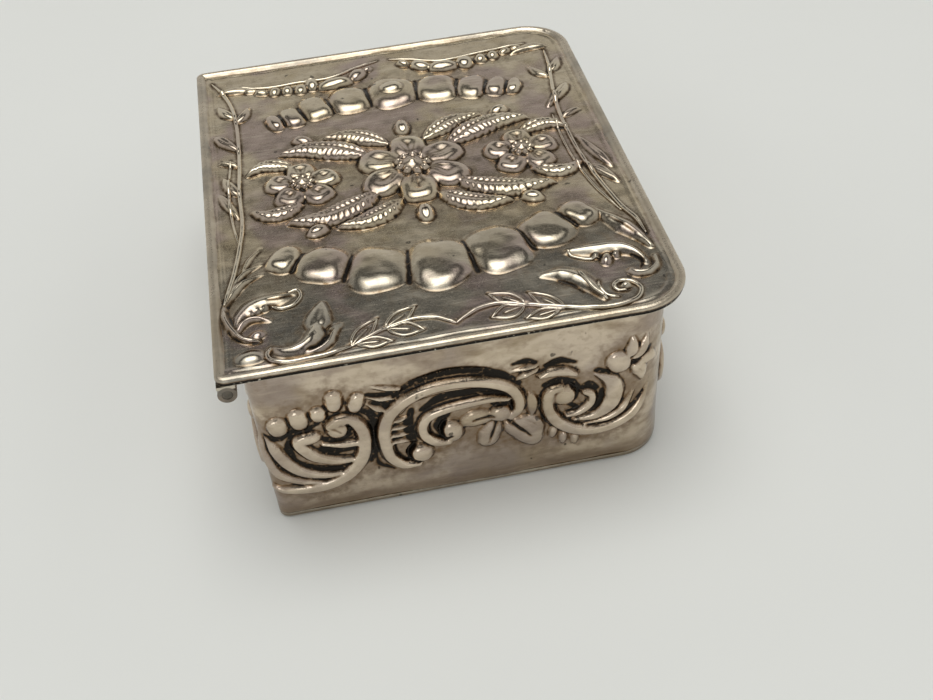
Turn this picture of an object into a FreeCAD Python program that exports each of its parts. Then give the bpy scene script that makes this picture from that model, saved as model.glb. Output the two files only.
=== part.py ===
"""A small hinged silver keepsake box.

A stamped strip is bent round into four walls and soldered to a flat base plate.  The lid is a stamped
sheet with a rolled rim, backed by a flat plate that carries the locating bezel.  A hinge of three
knuckles stands off one long wall: the outer two belong to the lid, the middle one to the walls.

The frame is in millimetres: the origin is the middle of the base's underside, +X points from the hinge
to the opening edge, +Y runs along the hinge and +Z is up.
"""

import FreeCAD, Part

import math
import os

from FreeCAD import Matrix, Vector

# Walls and base
BODY_WIDTH = 36.5
BODY_LENGTH = 48.4
BOX_HEIGHT = 17.9
WALL = 0.6
WALL_LEAN = 0.45
OPEN_CORNER_R = 4.5
HINGE_CORNER_R = 1.4
BASE = 0.6
BASE_CHAMFER = 0.2

# Lid
LID_OVER_HINGE = 2.0
LID_OVER_OPEN = 1.5
LID_OVER_END = 0.8
LID_OPEN_CORNER_R = 4.8
LID_HINGE_CORNER_R = 0.9
BACKING = 0.25
BACKING_INSET = 0.08
LID_SHEET = 0.25
RIM_WIDTH = 0.95
RIM_HEIGHT = 0.2
RIM_CHAMFER = 0.15
BEZEL = 0.5
BEZEL_DEPTH = 2.0
BEZEL_CLEARANCE = 0.2

# Hinge
KNUCKLE_R = 0.8
PIN_R = 0.42
PIN_CLEARANCE = 0.03
PIN_RECESS = 0.1
KNUCKLE_GAP = 0.15
HINGE_STAND_OFF = 0.42
LEAF = 0.32
LEAF_WIDTH = 1.5
LEAF_GROOVE = 0.18
BODY_LEAF_DROP = 0.4
BODY_LEAF_HEIGHT = 1.4

# Raised work in general: how a stamped swelling is crowned, as (share of outline, share of rise)
CROWN = ((1.0, 0.0), (0.82, 0.66), (0.46, 1.0))
BEAD_CROWN = ((1.0, 0.0), (0.64, 1.0))
ROOT = 0.12
LENS_FACETS = 8
PILLOW_FACETS = 8
PILLOW_POWER = 2.4

# Lid relief: two bands of lobes, a rose between two blossoms, swags at the far edge and corner leaves.
# A leaf is given as (stalk, tip, bow of its spine, width, rise).
LOBE_RISE = 0.95
LOBE_GAP = 0.1
FAR_BAND_RADIUS = 34.0
FAR_BAND_EDGE = 10.0
FAR_LOBE_LENGTHS = (5.8, 5.4, 4.6, 3.8, 3.0)
FAR_LOBE_WIDTHS = (4.9, 4.1, 2.9, 2.1, 1.5)
NEAR_BAND_RADIUS = 24.0
NEAR_BAND_EDGE = 10.6
NEAR_LOBE_LENGTHS = (7.0, 6.6, 5.2, 3.8)
NEAR_LOBE_WIDTHS = (5.4, 5.2, 4.5, 2.7)
ROSE_HEART = 3.6
ROSE_PETAL_COUNT = 6
ROSE_PETAL_LENGTH = 3.7
ROSE_PETAL_WIDTH = 3.4
ROSE_RISE = 1.25
BLOSSOM_HEART = 2.2
BLOSSOM_PETAL_COUNT = 5
BLOSSOM_PETAL_LENGTH = 2.4
BLOSSOM_PETAL_WIDTH = 2.5
BLOSSOM_RISE = 1.0
BLOSSOM_OUT = 10.6
BUNCH_FORWARD = 0.6
SPRAY_LEAVES = (
    ((1.6, 4.6), (8.2, 7.6), 0.8, 2.5, 0.7),
    ((3.6, 3.0), (12.6, 5.8), 1.1, 3.0, 0.85),
    ((10.8, 3.0), (15.8, 3.0), 1.1, 1.9, 0.7),
)
BUD_LENGTH = 2.4
BUD_WIDTH = 1.6
BUD_RISE = 0.7
SIDE_BUD = (9.9, 7.7)
SIDE_BUD_LEAN = 25
END_BUD_OUT = 7.4
HINGE_CORNER_LEAVES = (
    ((2.0, 6.1), (7.2, 9.8), 1.1, 1.9, 0.8),
    ((4.9, 3.0), (8.9, 5.3), -1.4, 1.3, 0.65),
    ((8.3, 4.2), (9.5, 8.0), 0.0, 1.9, 0.4),
)
OPEN_CORNER_LEAVES = (
    ((7.5, 2.3), (11.9, 6.6), 1.2, 2.0, 0.8),
    ((2.8, 6.1), (8.9, 9.2), 1.2, 1.8, 0.8),
    ((1.8, 8.1), (5.3, 14.9), 0.3, 2.0, 0.8),
)
SWAG_RISE = 0.62
SWAG_BEADS = (
    (3.0, 5.3, 2.3, 1.7, 48),
    (5.8, 6.4, 3.5, 1.9, 6),
    (8.2, 6.0, 1.6, 2.2, 0),
    (10.0, 6.1, 1.3, 1.7, 0),
    (11.6, 5.9, 1.2, 1.6, 0),
)

# Wall relief: scrolls of one ridge, each a chain of arcs given as (radius, turn in degrees)
SCROLL_WIDTH = 1.3
SCROLL_TOP = 0.6
SCROLL_RISE = 0.6
SCROLL_ROOT = 0.3
SCROLL_STEP = 24
TO_HINGE = 180
TO_OPENING = 0
BOSS_R = 0.95
BOSS_RISE = 0.7
C_SCROLL = ((3.4, 90), (5.3, 90), (11.0, 35), (2.0, 150))
C_SCROLL_START = (-2.9, -13.3)
C_SCROLL_BOSSES = ((-2.9, -12.3), (4.3, -8.6))
INNER_SCROLL = ((1.3, 120), (2.2, 75), (9.0, 22))
INNER_SCROLL_START = (0.0, -11.4)
INNER_SCROLL_BOSS = (-0.2, -10.3)
FAN_SCROLL = ((9.0, 28), (5.2, 62), (2.4, 120))
FAN_SCROLL_START = (-3.3, -14.4)
FAN_SCROLL_BOSS = (1.5, -7.9)
FAN_LEAVES = (
    ((2.2, -13.0), (-4.2, -7.5), 1.9, 1.5, 0.55),
    ((2.8, -11.6), (-2.0, -8.3), 1.1, 1.4, 0.55),
)
FAN_BERRIES = ((-3.3, -6.2), (-1.5, -5.7), (0.2, -5.4), (1.6, -4.2), (3.4, -4.8))
BERRY_LENGTH = 2.0
BERRY_WIDTH = 1.5
LEAF_SCROLL = ((1.6, 90), (4.8, 85), (7.0, 16))
LEAF_SCROLL_START = (-2.6, -7.0)
LEAF_SCROLL_BOSS = (-2.4, -8.3)
LEAF_SCROLL_LEAVES = (
    ((-1.6, -11.6), (0.4, -6.5), -2.4, 1.9, 0.55),
    ((-4.5, -5.5), (-1.4, -5.9), 0.3, 1.1, 0.5),
)
CORNER_FLOWER = (2.4, -5.6)
CORNER_FLOWER_SIZE = 2.3
FLOWER_PETAL_LENGTH = 2.6
FLOWER_PETAL_WIDTH = 1.7
FLOWER_PETALS = (180, 235, 305)
FLOWER_REACH = 2.2
C_FLOWER = (4.3, -8.9)
FAN_FROM_HINGE = 5.4
C_FROM_HINGE = 16.5
LEAF_FROM_HINGE = 29.0
SIDE_C_SHARE = 0.48
SIDE_CURL = ((2.7, 95), (1.75, 130))
SIDE_CURL_START = (1.2, -13.3)
SIDE_CURL_BOSS = (0.9, -9.9)
SIDE_CURL_BEYOND = 8.8
SIDE_BERRIES = ((-1.5, -6.2), (0.3, -5.6), (2.1, -5.1))
SIDE_LEAF = ((0.0, -13.6), (0.0, -4.0), 0.0, 2.2, 0.5)

# Places that follow from the sizes above
BODY_X = BODY_WIDTH / 2
BODY_Y = BODY_LENGTH / 2
LID_LEFT = -BODY_X - LID_OVER_HINGE
LID_RIGHT = BODY_X + LID_OVER_OPEN
LID_Y = BODY_Y + LID_OVER_END
LID_MID_X = (LID_LEFT + LID_RIGHT) / 2
SHEET_Z = BOX_HEIGHT + BACKING
FIELD_Z = SHEET_Z + LID_SHEET
HINGE_X = -BODY_X - HINGE_STAND_OFF - KNUCKLE_R
HINGE_Z = BOX_HEIGHT - LEAF + LEAF_GROOVE - KNUCKLE_R
HINGE_SPAN = 2 * LID_Y
KNUCKLE_PITCH = HINGE_SPAN / 3
KNUCKLE_LENGTH = KNUCKLE_PITCH - KNUCKLE_GAP
WALL_SLOPE = math.atan2(WALL_LEAN, BOX_HEIGHT - BASE)


def outline(x0, x1, y_half, low_x_r, high_x_r, z):
    """Closed wire of a rectangle whose corners have one radius at low x and another at high x."""
    low_x, high_x = x0 + low_x_r, x1 - high_x_r
    corners = (
        (low_x, low_x_r - y_half, low_x_r, 180),
        (high_x, high_x_r - y_half, high_x_r, 270),
        (high_x, y_half - high_x_r, high_x_r, 0),
        (low_x, y_half - low_x_r, low_x_r, 90),
    )
    arcs = []
    for x, y, r, start in corners:
        rays = [math.radians(start + turn) for turn in (0, 45, 90)]
        arcs.append([Vector(x + r * math.cos(a), y + r * math.sin(a), z) for a in rays])
    edges = []
    for k, points in enumerate(arcs):
        edges.append(Part.Arc(*points).toShape())
        edges.append(Part.LineSegment(points[2], arcs[(k + 1) % 4][0]).toShape())
    return Part.Wire(edges)


def body_outline(inset, z):
    """The walls' plan at height z, set in from the outer face by inset."""
    total = inset + WALL_LEAN * (BOX_HEIGHT - z) / (BOX_HEIGHT - BASE)
    hinge_r = HINGE_CORNER_R * HINGE_CORNER_R / (HINGE_CORNER_R + total)
    return outline(-BODY_X + total, BODY_X - total, BODY_Y - total, hinge_r, OPEN_CORNER_R - total, z)


def lid_outline(inset, z):
    """The lid's plan at height z, set in from its edge by inset."""
    hinge_r = LID_HINGE_CORNER_R * LID_HINGE_CORNER_R / (LID_HINGE_CORNER_R + inset)
    return outline(LID_LEFT + inset, LID_RIGHT - inset, LID_Y - inset, hinge_r, LID_OPEN_CORNER_R - inset, z)


def prism(wire, height):
    return Part.Face(wire).extrude(Vector(0, 0, height))


def wall_block(inset):
    """The leaning block that the walls enclose, down to the base plate's top."""
    return Part.makeLoft([body_outline(inset, BASE), body_outline(inset, BOX_HEIGHT)], True, True)


def hinge_rod(low, length, radius):
    """A round bar on the hinge axis."""
    return Part.makeCylinder(radius, length, Vector(HINGE_X, low, HINGE_Z), Vector(0, 1, 0))


def lens(length, width, bow=0.0):
    """Corners of a faceted pointed oval along X: y is a sine of the way along, less the bow's parabola."""
    points = []
    for k in range(LENS_FACETS):
        turn = 2 * math.pi * k / LENS_FACETS
        way = 2 * abs(turn / math.pi - 1) - 1
        points.append(Vector(length / 2 * way, width / 2 * math.sin(turn) - bow * way * way, 0))
    return points


def pillow(length, width):
    """Corners of a faceted rounded rectangle: a superellipse of the power PILLOW_POWER."""
    points = []
    for k in range(PILLOW_FACETS):
        turn = 2 * math.pi * (k + 0.5) / PILLOW_FACETS
        c, s = math.cos(turn), math.sin(turn)
        reach = (abs(c) ** PILLOW_POWER + abs(s) ** PILLOW_POWER) ** (-1 / PILLOW_POWER)
        points.append(Vector(length / 2 * reach * c, width / 2 * reach * s, 0))
    return points


def facet(corners):
    return Part.Face(Part.makePolygon(corners + corners[:1]))


def skin(rings):
    """A solid with flat facets between rings of corners, closed by its first and last ring."""
    faces = [facet(rings[0]), facet(rings[-1])]
    for low, high in zip(rings, rings[1:]):
        for k in range(len(low)):
            after = (k + 1) % len(low)
            faces.append(facet([low[k], low[after], high[after], high[k]]))
    return Part.makeSolid(Part.makeShell(faces))


def swelling(plan, rise, x, y, angle=0.0, z=0.0, crown=CROWN):
    """A crowned swelling over a plan of corners, rising from height z, with a root sunk below it."""
    rings = [[corner + Vector(0, 0, -ROOT) for corner in plan]]
    rings += [[corner * share + Vector(0, 0, rise * up) for corner in plan] for share, up in crown]
    solid = skin(rings)
    solid.rotate(Vector(0, 0, 0), Vector(0, 0, 1), angle)
    solid.translate(Vector(x, y, z))
    return solid


def leaf(form, origin=(0.0, 0.0), flip_x=1, flip_y=1, z=0.0):
    """A leaf (stalk, tip, bow, width, rise) set out from an origin; a flip of -1 mirrors it in that axis.

    The bow is how far the middle of the spine lies left of the straight line from stalk to tip.
    """
    stalk, tip, bow, width, rise = form
    start, end = (Vector(origin[0] + flip_x * x, origin[1] + flip_y * y, 0) for x, y in (stalk, tip))
    along = end - start
    bow *= flip_x * flip_y
    left = Vector(-along.y, along.x, 0) / along.Length
    middle = (start + end) / 2 + left * bow
    return swelling(lens(along.Length, width, bow), rise, middle.x, middle.y,
                    math.degrees(math.atan2(along.y, along.x)), z)


def bead(length, width, rise, x, y, angle=0.0, z=0.0):
    """A small pillow with a single slope all round."""
    return swelling(pillow(length, width), rise, x, y, angle, z, BEAD_CROWN)


def lobe_band(lengths, widths, radius, edge, side):
    """An arc of lobes that bulges away from the lid's middle, largest in its centre; side is -1 in front."""
    crest = LID_Y - edge
    centre = crest - radius
    lobes = []
    turn = 0.0
    for k, (length, width) in enumerate(zip(lengths, widths)):
        if k:
            turn += (width / 2 + widths[k - 1] / 2 + LOBE_GAP) / radius
        for mirror in ((1, -1) if k else (1,)):
            x = LID_MID_X + mirror * radius * math.sin(turn)
            y = side * (centre + radius * math.cos(turn))
            lean = math.degrees(math.pi / 2 - mirror * turn) * side
            lobes.append(swelling(pillow(length, width), LOBE_RISE, x, y, lean, FIELD_Z))
    return lobes


def blossom(x, y, heart, petals, petal_length, petal_width, rise):
    """A domed heart with a ring of petals round it."""
    parts = [swelling(pillow(heart, heart), rise, x, y, 0, FIELD_Z)]
    reach = heart / 2 + petal_length / 2 + LOBE_GAP / 2
    for k in range(petals):
        angle = 360 * k / petals + 90
        a = math.radians(angle)
        parts.append(swelling(pillow(petal_length, petal_width), rise * CROWN[1][1],
                              x + reach * math.cos(a), y + reach * math.sin(a), angle, FIELD_Z))
    return parts


def leaf_spray():
    """Leaves and buds in the four quarters between the rose and the blossoms."""
    rose = (LID_MID_X, BUNCH_FORWARD)
    parts = []
    for flip_y in (1, -1):
        end_bud_y = rose[1] + flip_y * END_BUD_OUT
        parts.append(bead(BUD_WIDTH, BUD_LENGTH, BUD_RISE, rose[0], end_bud_y, 0, FIELD_Z))
        for flip_x in (1, -1):
            parts += [leaf(form, rose, flip_x, flip_y, FIELD_Z) for form in SPRAY_LEAVES]
            parts.append(bead(BUD_LENGTH, BUD_WIDTH, BUD_RISE, rose[0] + flip_x * SIDE_BUD[0],
                              rose[1] + flip_y * SIDE_BUD[1], flip_x * flip_y * SIDE_BUD_LEAN, FIELD_Z))
    return parts


def border():
    """Acanthus leaves in the two front corners, and two swags of beads along the far edge."""
    parts = [leaf(form, (LID_LEFT, -LID_Y), 1, 1, FIELD_Z) for form in HINGE_CORNER_LEAVES]
    parts += [leaf(form, (LID_RIGHT, -LID_Y), -1, 1, FIELD_Z) for form in OPEN_CORNER_LEAVES]
    for x, inward, length, width, lean in SWAG_BEADS:
        for side in (1, -1):
            parts.append(bead(length, width, SWAG_RISE, LID_MID_X + side * x, LID_Y - inward,
                              -side * lean, FIELD_Z))
    return parts


def scroll_section(point, inward):
    """Corners of the ridge's section where it passes a point; inward is towards the bend's centre."""
    profile = (
        (-SCROLL_WIDTH / 2, -SCROLL_ROOT),
        (SCROLL_WIDTH / 2, -SCROLL_ROOT),
        (SCROLL_WIDTH / 2, 0),
        (SCROLL_TOP / 2, SCROLL_RISE),
        (-SCROLL_TOP / 2, SCROLL_RISE),
        (-SCROLL_WIDTH / 2, 0),
    )
    return [point + inward * across + Vector(0, 0, up) for across, up in profile]


def scroll(start, heading, arcs, turn_way, mirror):
    """A ridge along a chain of tangent arcs in the XY plane, in facets of about SCROLL_STEP degrees.

    turn_way is 1 to the left and -1 to the right; mirror is -1 to flip the whole scroll in x.
    """
    way = turn_way * mirror
    angle = math.radians(heading if mirror > 0 else 180 - heading)
    inward = Vector(-way * math.sin(angle), way * math.cos(angle), 0)
    point = Vector(mirror * start[0], start[1], 0)
    sections = [scroll_section(point, inward)]
    for radius, turn in arcs:
        centre = point + inward * radius
        steps = math.ceil(turn / SCROLL_STEP)
        for _ in range(steps):
            angle += way * math.radians(turn / steps)
            inward = Vector(-way * math.sin(angle), way * math.cos(angle), 0)
            point = centre - inward * radius
            sections.append(scroll_section(point, inward))
    return skin(sections)


def boss(place, mirror):
    return bead(2 * BOSS_R, 2 * BOSS_R, BOSS_RISE, mirror * place[0], place[1])


def berries(places, mirror):
    return [bead(BERRY_WIDTH, BERRY_LENGTH, SCROLL_RISE, mirror * x, y) for x, y in places]


def c_motif(mirror):
    """The large C-scroll with its inner band, bosses and flower."""
    parts = [
        scroll(C_SCROLL_START, TO_HINGE, C_SCROLL, -1, mirror),
        scroll(INNER_SCROLL_START, TO_HINGE, INNER_SCROLL, -1, mirror),
    ]
    parts += [boss(place, mirror) for place in C_SCROLL_BOSSES + (INNER_SCROLL_BOSS,)]
    for angle in FLOWER_PETALS:
        a = math.radians(angle)
        x = mirror * (C_FLOWER[0] + FLOWER_REACH * math.cos(a))
        y = C_FLOWER[1] + FLOWER_REACH * math.sin(a)
        lean = angle if mirror > 0 else 180 - angle
        parts.append(swelling(lens(FLOWER_PETAL_LENGTH, FLOWER_PETAL_WIDTH), SCROLL_RISE, x, y, lean))
    return parts


def fan_motif(mirror):
    """The curled fan with its flutes and boss, and the row of berries over it."""
    parts = [scroll(FAN_SCROLL_START, TO_OPENING, FAN_SCROLL, 1, mirror), boss(FAN_SCROLL_BOSS, mirror)]
    parts += [leaf(form, flip_x=mirror) for form in FAN_LEAVES]
    return parts + berries(FAN_BERRIES, mirror)


def leaf_motif(mirror):
    """The opening-side scroll that sweeps up towards the corner, with its leaves and the corner's flower."""
    parts = [scroll(LEAF_SCROLL_START, TO_HINGE, LEAF_SCROLL, 1, mirror), boss(LEAF_SCROLL_BOSS, mirror)]
    parts += [leaf(form, flip_x=mirror) for form in LEAF_SCROLL_LEAVES]
    parts.append(bead(CORNER_FLOWER_SIZE, CORNER_FLOWER_SIZE, SCROLL_RISE,
                      mirror * CORNER_FLOWER[0], CORNER_FLOWER[1]))
    return parts


def curl_motif(mirror):
    """The small curl under three berries near the ends of the sides."""
    parts = [scroll(SIDE_CURL_START, TO_HINGE, SIDE_CURL, -1, mirror), boss(SIDE_CURL_BOSS, mirror)]
    return parts + berries(SIDE_BERRIES, mirror)


def on_wall(solids, outward, distance, along):
    """Move solids modelled flat on XY, with y down from the wall's top edge, onto a leaning wall.

    outward is the wall's direction in degrees from +X, distance is its top edge's place along it.
    """
    a = math.radians(outward)
    out = Vector(math.cos(a), math.sin(a), 0)
    right = Vector(-math.sin(a), math.cos(a), 0)
    up = out * math.sin(WALL_SLOPE) + Vector(0, 0, math.cos(WALL_SLOPE))
    normal = out * math.cos(WALL_SLOPE) - Vector(0, 0, math.sin(WALL_SLOPE))
    origin = out * distance + right * along + Vector(0, 0, BOX_HEIGHT)
    place = Matrix(right.x, up.x, normal.x, origin.x, right.y, up.y, normal.y, origin.y,
                   right.z, up.z, normal.z, origin.z, 0, 0, 0, 1)
    moved = []
    for solid in solids:
        copy = solid.copy()
        copy.Placement = FreeCAD.Placement(place).multiply(copy.Placement)
        moved.append(copy)
    return moved


def wall_relief():
    """The scrolls on all four walls; the end walls mirror each other, and so do the halves of the sides."""
    run = ((fan_motif, FAN_FROM_HINGE), (c_motif, C_FROM_HINGE), (leaf_motif, LEAF_FROM_HINGE))
    raised = []
    for outward, mirror in ((270, 1), (90, -1)):
        for motif, from_hinge in run:
            raised += on_wall(motif(mirror), outward, BODY_Y, mirror * (from_hinge - BODY_X))
    for outward, corner_r in ((0, OPEN_CORNER_R), (180, HINGE_CORNER_R)):
        c_out = SIDE_C_SHARE * (BODY_Y - corner_r)
        raised += on_wall([leaf(SIDE_LEAF)], outward, BODY_X, 0)
        for mirror in (1, -1):
            raised += on_wall(c_motif(mirror), outward, BODY_X, -mirror * c_out)
            raised += on_wall(curl_motif(mirror), outward, BODY_X, -mirror * (c_out + SIDE_CURL_BEYOND))
    return raised


def base_plate():
    plate = prism(body_outline(0, BASE), -BASE)
    low_edges = [e for e in plate.Edges if e.BoundBox.ZMax < BASE / 2]
    return plate.makeChamfer(BASE_CHAMFER, low_edges)


def wall_band():
    return wall_block(0).multiFuse(wall_relief()).cut(wall_block(WALL))


def lid_plate():
    """The stamped sheet: flat field, rolled rim, bands of lobes, flowers and leaves."""
    sheet = prism(lid_outline(0, SHEET_Z), LID_SHEET)
    rim = prism(lid_outline(0, SHEET_Z), LID_SHEET + RIM_HEIGHT)
    rim = rim.cut(prism(lid_outline(RIM_WIDTH, SHEET_Z), LID_SHEET + RIM_HEIGHT))
    crest = FIELD_Z + RIM_HEIGHT
    rim = rim.makeChamfer(RIM_CHAMFER, [e for e in rim.Edges if e.BoundBox.ZMin > crest - RIM_HEIGHT / 2])
    raised = lobe_band(FAR_LOBE_LENGTHS, FAR_LOBE_WIDTHS, FAR_BAND_RADIUS, FAR_BAND_EDGE, 1)
    raised += lobe_band(NEAR_LOBE_LENGTHS, NEAR_LOBE_WIDTHS, NEAR_BAND_RADIUS, NEAR_BAND_EDGE, -1)
    raised += blossom(LID_MID_X, BUNCH_FORWARD, ROSE_HEART, ROSE_PETAL_COUNT,
                      ROSE_PETAL_LENGTH, ROSE_PETAL_WIDTH, ROSE_RISE)
    for side in (-1, 1):
        raised += blossom(LID_MID_X + side * BLOSSOM_OUT, BUNCH_FORWARD, BLOSSOM_HEART, BLOSSOM_PETAL_COUNT,
                          BLOSSOM_PETAL_LENGTH, BLOSSOM_PETAL_WIDTH, BLOSSOM_RISE)
    raised += leaf_spray() + border()
    return sheet.multiFuse([rim] + raised).removeSplitter()


def lid_backing_plate():
    return prism(lid_outline(BACKING_INSET, BOX_HEIGHT), BACKING)


def lid_bezel():
    """A strip bent to the opening.  On the hinge side it stands further in, clear of the wall's top edge."""
    wall_face = -BODY_X + WALL
    swing = math.hypot(wall_face - HINGE_X, BOX_HEIGHT - HINGE_Z)
    x0 = HINGE_X + swing + BEZEL_CLEARANCE
    inset = WALL + BEZEL_CLEARANCE
    z = BOX_HEIGHT - BEZEL_DEPTH
    outer = outline(x0, BODY_X - inset, BODY_Y - inset, HINGE_CORNER_R, OPEN_CORNER_R - inset, z)
    inset += BEZEL
    inner = outline(x0 + BEZEL, BODY_X - inset, BODY_Y - inset,
                    HINGE_CORNER_R - BEZEL, OPEN_CORNER_R - inset, z)
    return prism(outer, BEZEL_DEPTH).cut(prism(inner, BEZEL_DEPTH))


def knuckle_low(index):
    """Where a knuckle starts along the hinge; the gaps between them are KNUCKLE_GAP."""
    return -LID_Y + index * KNUCKLE_PITCH + KNUCKLE_GAP / 2


def knuckle(index):
    """One of the three tubes, counted from the front."""
    low = knuckle_low(index)
    bore = hinge_rod(low, KNUCKLE_LENGTH, PIN_R + PIN_CLEARANCE)
    return hinge_rod(low, KNUCKLE_LENGTH, KNUCKLE_R).cut(bore)


def lid_hinge_leaf(index):
    """A strip under the lid's edge, grooved to seat its knuckle."""
    low = knuckle_low(index)
    corner = Vector(HINGE_X - LEAF_WIDTH / 2, low, BOX_HEIGHT - LEAF)
    strip = Part.makeBox(LEAF_WIDTH, KNUCKLE_LENGTH, LEAF, corner)
    return strip.cut(hinge_rod(low, KNUCKLE_LENGTH, KNUCKLE_R))


def body_hinge_leaf():
    """A strip on the hinge wall's outer face, grooved to seat the middle knuckle."""
    low = knuckle_low(1)
    strip = Part.makeBox(-BODY_X + WALL - HINGE_X, KNUCKLE_LENGTH, BODY_LEAF_HEIGHT,
                         Vector(HINGE_X, low, BOX_HEIGHT - BODY_LEAF_DROP - BODY_LEAF_HEIGHT))
    return strip.cut(wall_block(0)).cut(hinge_rod(low, KNUCKLE_LENGTH, KNUCKLE_R))


def hinge_pin():
    return hinge_rod(-LID_Y + PIN_RECESS, HINGE_SPAN - 2 * PIN_RECESS, PIN_R)


def main():
    os.makedirs("parts", exist_ok=True)
    pieces = {
        "base_plate": base_plate(),
        "wall_band": wall_band(),
        "lid_plate": lid_plate(),
        "lid_backing_plate": lid_backing_plate(),
        "lid_bezel": lid_bezel(),
        "lid_knuckle_front": knuckle(0),
        "body_knuckle": knuckle(1),
        "lid_knuckle_rear": knuckle(2),
        "lid_hinge_leaf_front": lid_hinge_leaf(0),
        "lid_hinge_leaf_rear": lid_hinge_leaf(2),
        "body_hinge_leaf": body_hinge_leaf(),
        "hinge_pin": hinge_pin(),
    }
    for name, shape in pieces.items():
        print(f"{name}: {len(shape.Solids)} solid, {shape.Volume:.2f} mm3, valid {shape.isValid()}")
        shape.exportStep(os.path.join("parts", name + ".step"))


main()
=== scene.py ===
"""Looks of a small hinged silver keepsake box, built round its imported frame.

The lid and the four walls are stamped sheets: each is a height field on a grid, raised by lobes,
scrolls, leaves and berries, and darkened in its recesses.  Thin stems and leaf outlines on the lid
are half-sunk wires.  Lengths are millimetres until a mesh is written.
"""

import logging
import math
from dataclasses import dataclass, field
from enum import Enum
from typing import Sequence

import bpy
import numpy as np
from mathutils import Euler, Matrix, Vector


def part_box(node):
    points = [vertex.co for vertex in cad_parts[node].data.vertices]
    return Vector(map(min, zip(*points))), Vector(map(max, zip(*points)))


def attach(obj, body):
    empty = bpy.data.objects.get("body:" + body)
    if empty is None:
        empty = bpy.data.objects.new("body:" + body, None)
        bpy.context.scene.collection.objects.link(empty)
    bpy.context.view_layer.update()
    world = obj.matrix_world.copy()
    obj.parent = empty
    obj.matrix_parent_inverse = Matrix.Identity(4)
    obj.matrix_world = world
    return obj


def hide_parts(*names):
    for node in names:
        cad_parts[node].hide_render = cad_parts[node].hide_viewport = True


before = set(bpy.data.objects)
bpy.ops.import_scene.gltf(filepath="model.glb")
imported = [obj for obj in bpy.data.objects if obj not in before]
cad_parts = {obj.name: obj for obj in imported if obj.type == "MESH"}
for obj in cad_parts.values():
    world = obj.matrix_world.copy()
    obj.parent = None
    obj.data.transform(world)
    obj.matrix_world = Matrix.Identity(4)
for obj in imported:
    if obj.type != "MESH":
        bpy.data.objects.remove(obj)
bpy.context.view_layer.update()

MM = 0.001
LOG = logging.getLogger("keepsake_box")

# The lid's backing plate is painted black on its edge, a painted shadow line under the rim, from this far
# above its underside.
SHADOW_LINE_GAP = 0.01
SHADOW_LINE_FADE = 0.03

# Bands and furrows are looked for this much past their half width.
REACH_MARGIN = 1.05
# A band's flat sinks by this share of its rise towards the shoulders.
BAND_CROWN = 0.14
# A form of this height or more has no darkness left on it.
CLEAN_RISE = 0.22
# A pad's dimple reaches this share of the way out.
DIMPLE_REACH = 0.42
# A pad is looked for this share of its longer side from its middle, and a leaf of its width.
PAD_REACH = 0.62
LEAF_REACH = 0.55
# A furrow's darkness is full over this much of its depth, and is softened by this half side.
SOOT_SPREAD = 1.7
SOOT_SOFTNESS = 0.05
# A leaf's lobes and side veins slant by these shares of a lobe or a vein, and its rib is this wide a share.
LOBE_SLANT = 0.35
VEIN_SLANT = 0.9
RIB_WIDTH = 0.09
# The powers that shape a leaf's swelling, its taper to the tip and its fall to the edge.
LEAF_SWELL, LEAF_TAPER, LEAF_FALL = 0.8, 0.85, 2.4
# A leaf's height where it is narrowest, as a share.
LEAF_LEAST = 0.45
# The rib fades out towards this share of the way along, and veins set in by one part in this many.
RIB_END = 1.15
VEIN_START = 3
# Forms of this height and more take the full extra depth of dents.
RAISED = 0.5
# The thin dark line and the wide shade round a form are judged over these half sides.
CREASE_REACH = 0.1
HALO_REACH = 1.0
HALO_MOST = 0.24

# Steps along a straight stretch at the least, and round a corner.
LEAST_STEPS, CORNER_STEPS = 6, 14
# Samples of a curve that are compared with the grid at a time.
BATCH = 32
# How far the last sampled place stays inside the grid's end, in cells.
LAST_CELL = 1.001

Point = tuple[float, float]
Triple = tuple[float, float, float]
Curve = Sequence[Point]
Colour = tuple[float, float, float, float]
Index = tuple[slice, slice]


class Body(str, Enum):
    """The frame's rigid bodies."""

    BOX = "box"
    LID = "lid"


class Slot(str, Enum):
    """The record's material slots."""

    STAMPED = "stamped_silver"


class Lay(Enum):
    """How a new form meets what is already raised: it stands on the ground or rides on top."""

    GROUND = "ground"
    ON_TOP = "on top"


# Curves and meshes


def smooth_curve(points: Curve, per_span: int = 24) -> np.ndarray:
    """A Catmull-Rom curve through the points.

    Args:
        points: The points that the curve passes through.
        per_span: Samples between one point and the next.

    Returns:
        An array of samples, one row each.
    """
    p = np.asarray(points, float)
    ends = np.vstack([2 * p[0] - p[1], p, 2 * p[-1] - p[-2]])
    a, b, c, d = ends[:-3, None], ends[1:-2, None], ends[2:-1, None], ends[3:, None]
    t = np.linspace(0.0, 1.0, per_span, endpoint=False)[None, :, None]
    square, cube = 2 * a - 5 * b + 4 * c - d, 3 * b - a - 3 * c + d
    spans = 0.5 * (2 * b + (c - a) * t + square * t**2 + cube * t**3)
    return np.vstack([spans.reshape(-1, p.shape[1]), p[-1:]])


def spread(values: float | Sequence[float], count: int) -> np.ndarray:
    """One number, or several spaced evenly, drawn out to count samples by straight interpolation."""
    v = np.atleast_1d(np.asarray(values, float))
    return np.interp(np.linspace(0.0, 1.0, count), np.linspace(0.0, 1.0, len(v)), v)


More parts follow.
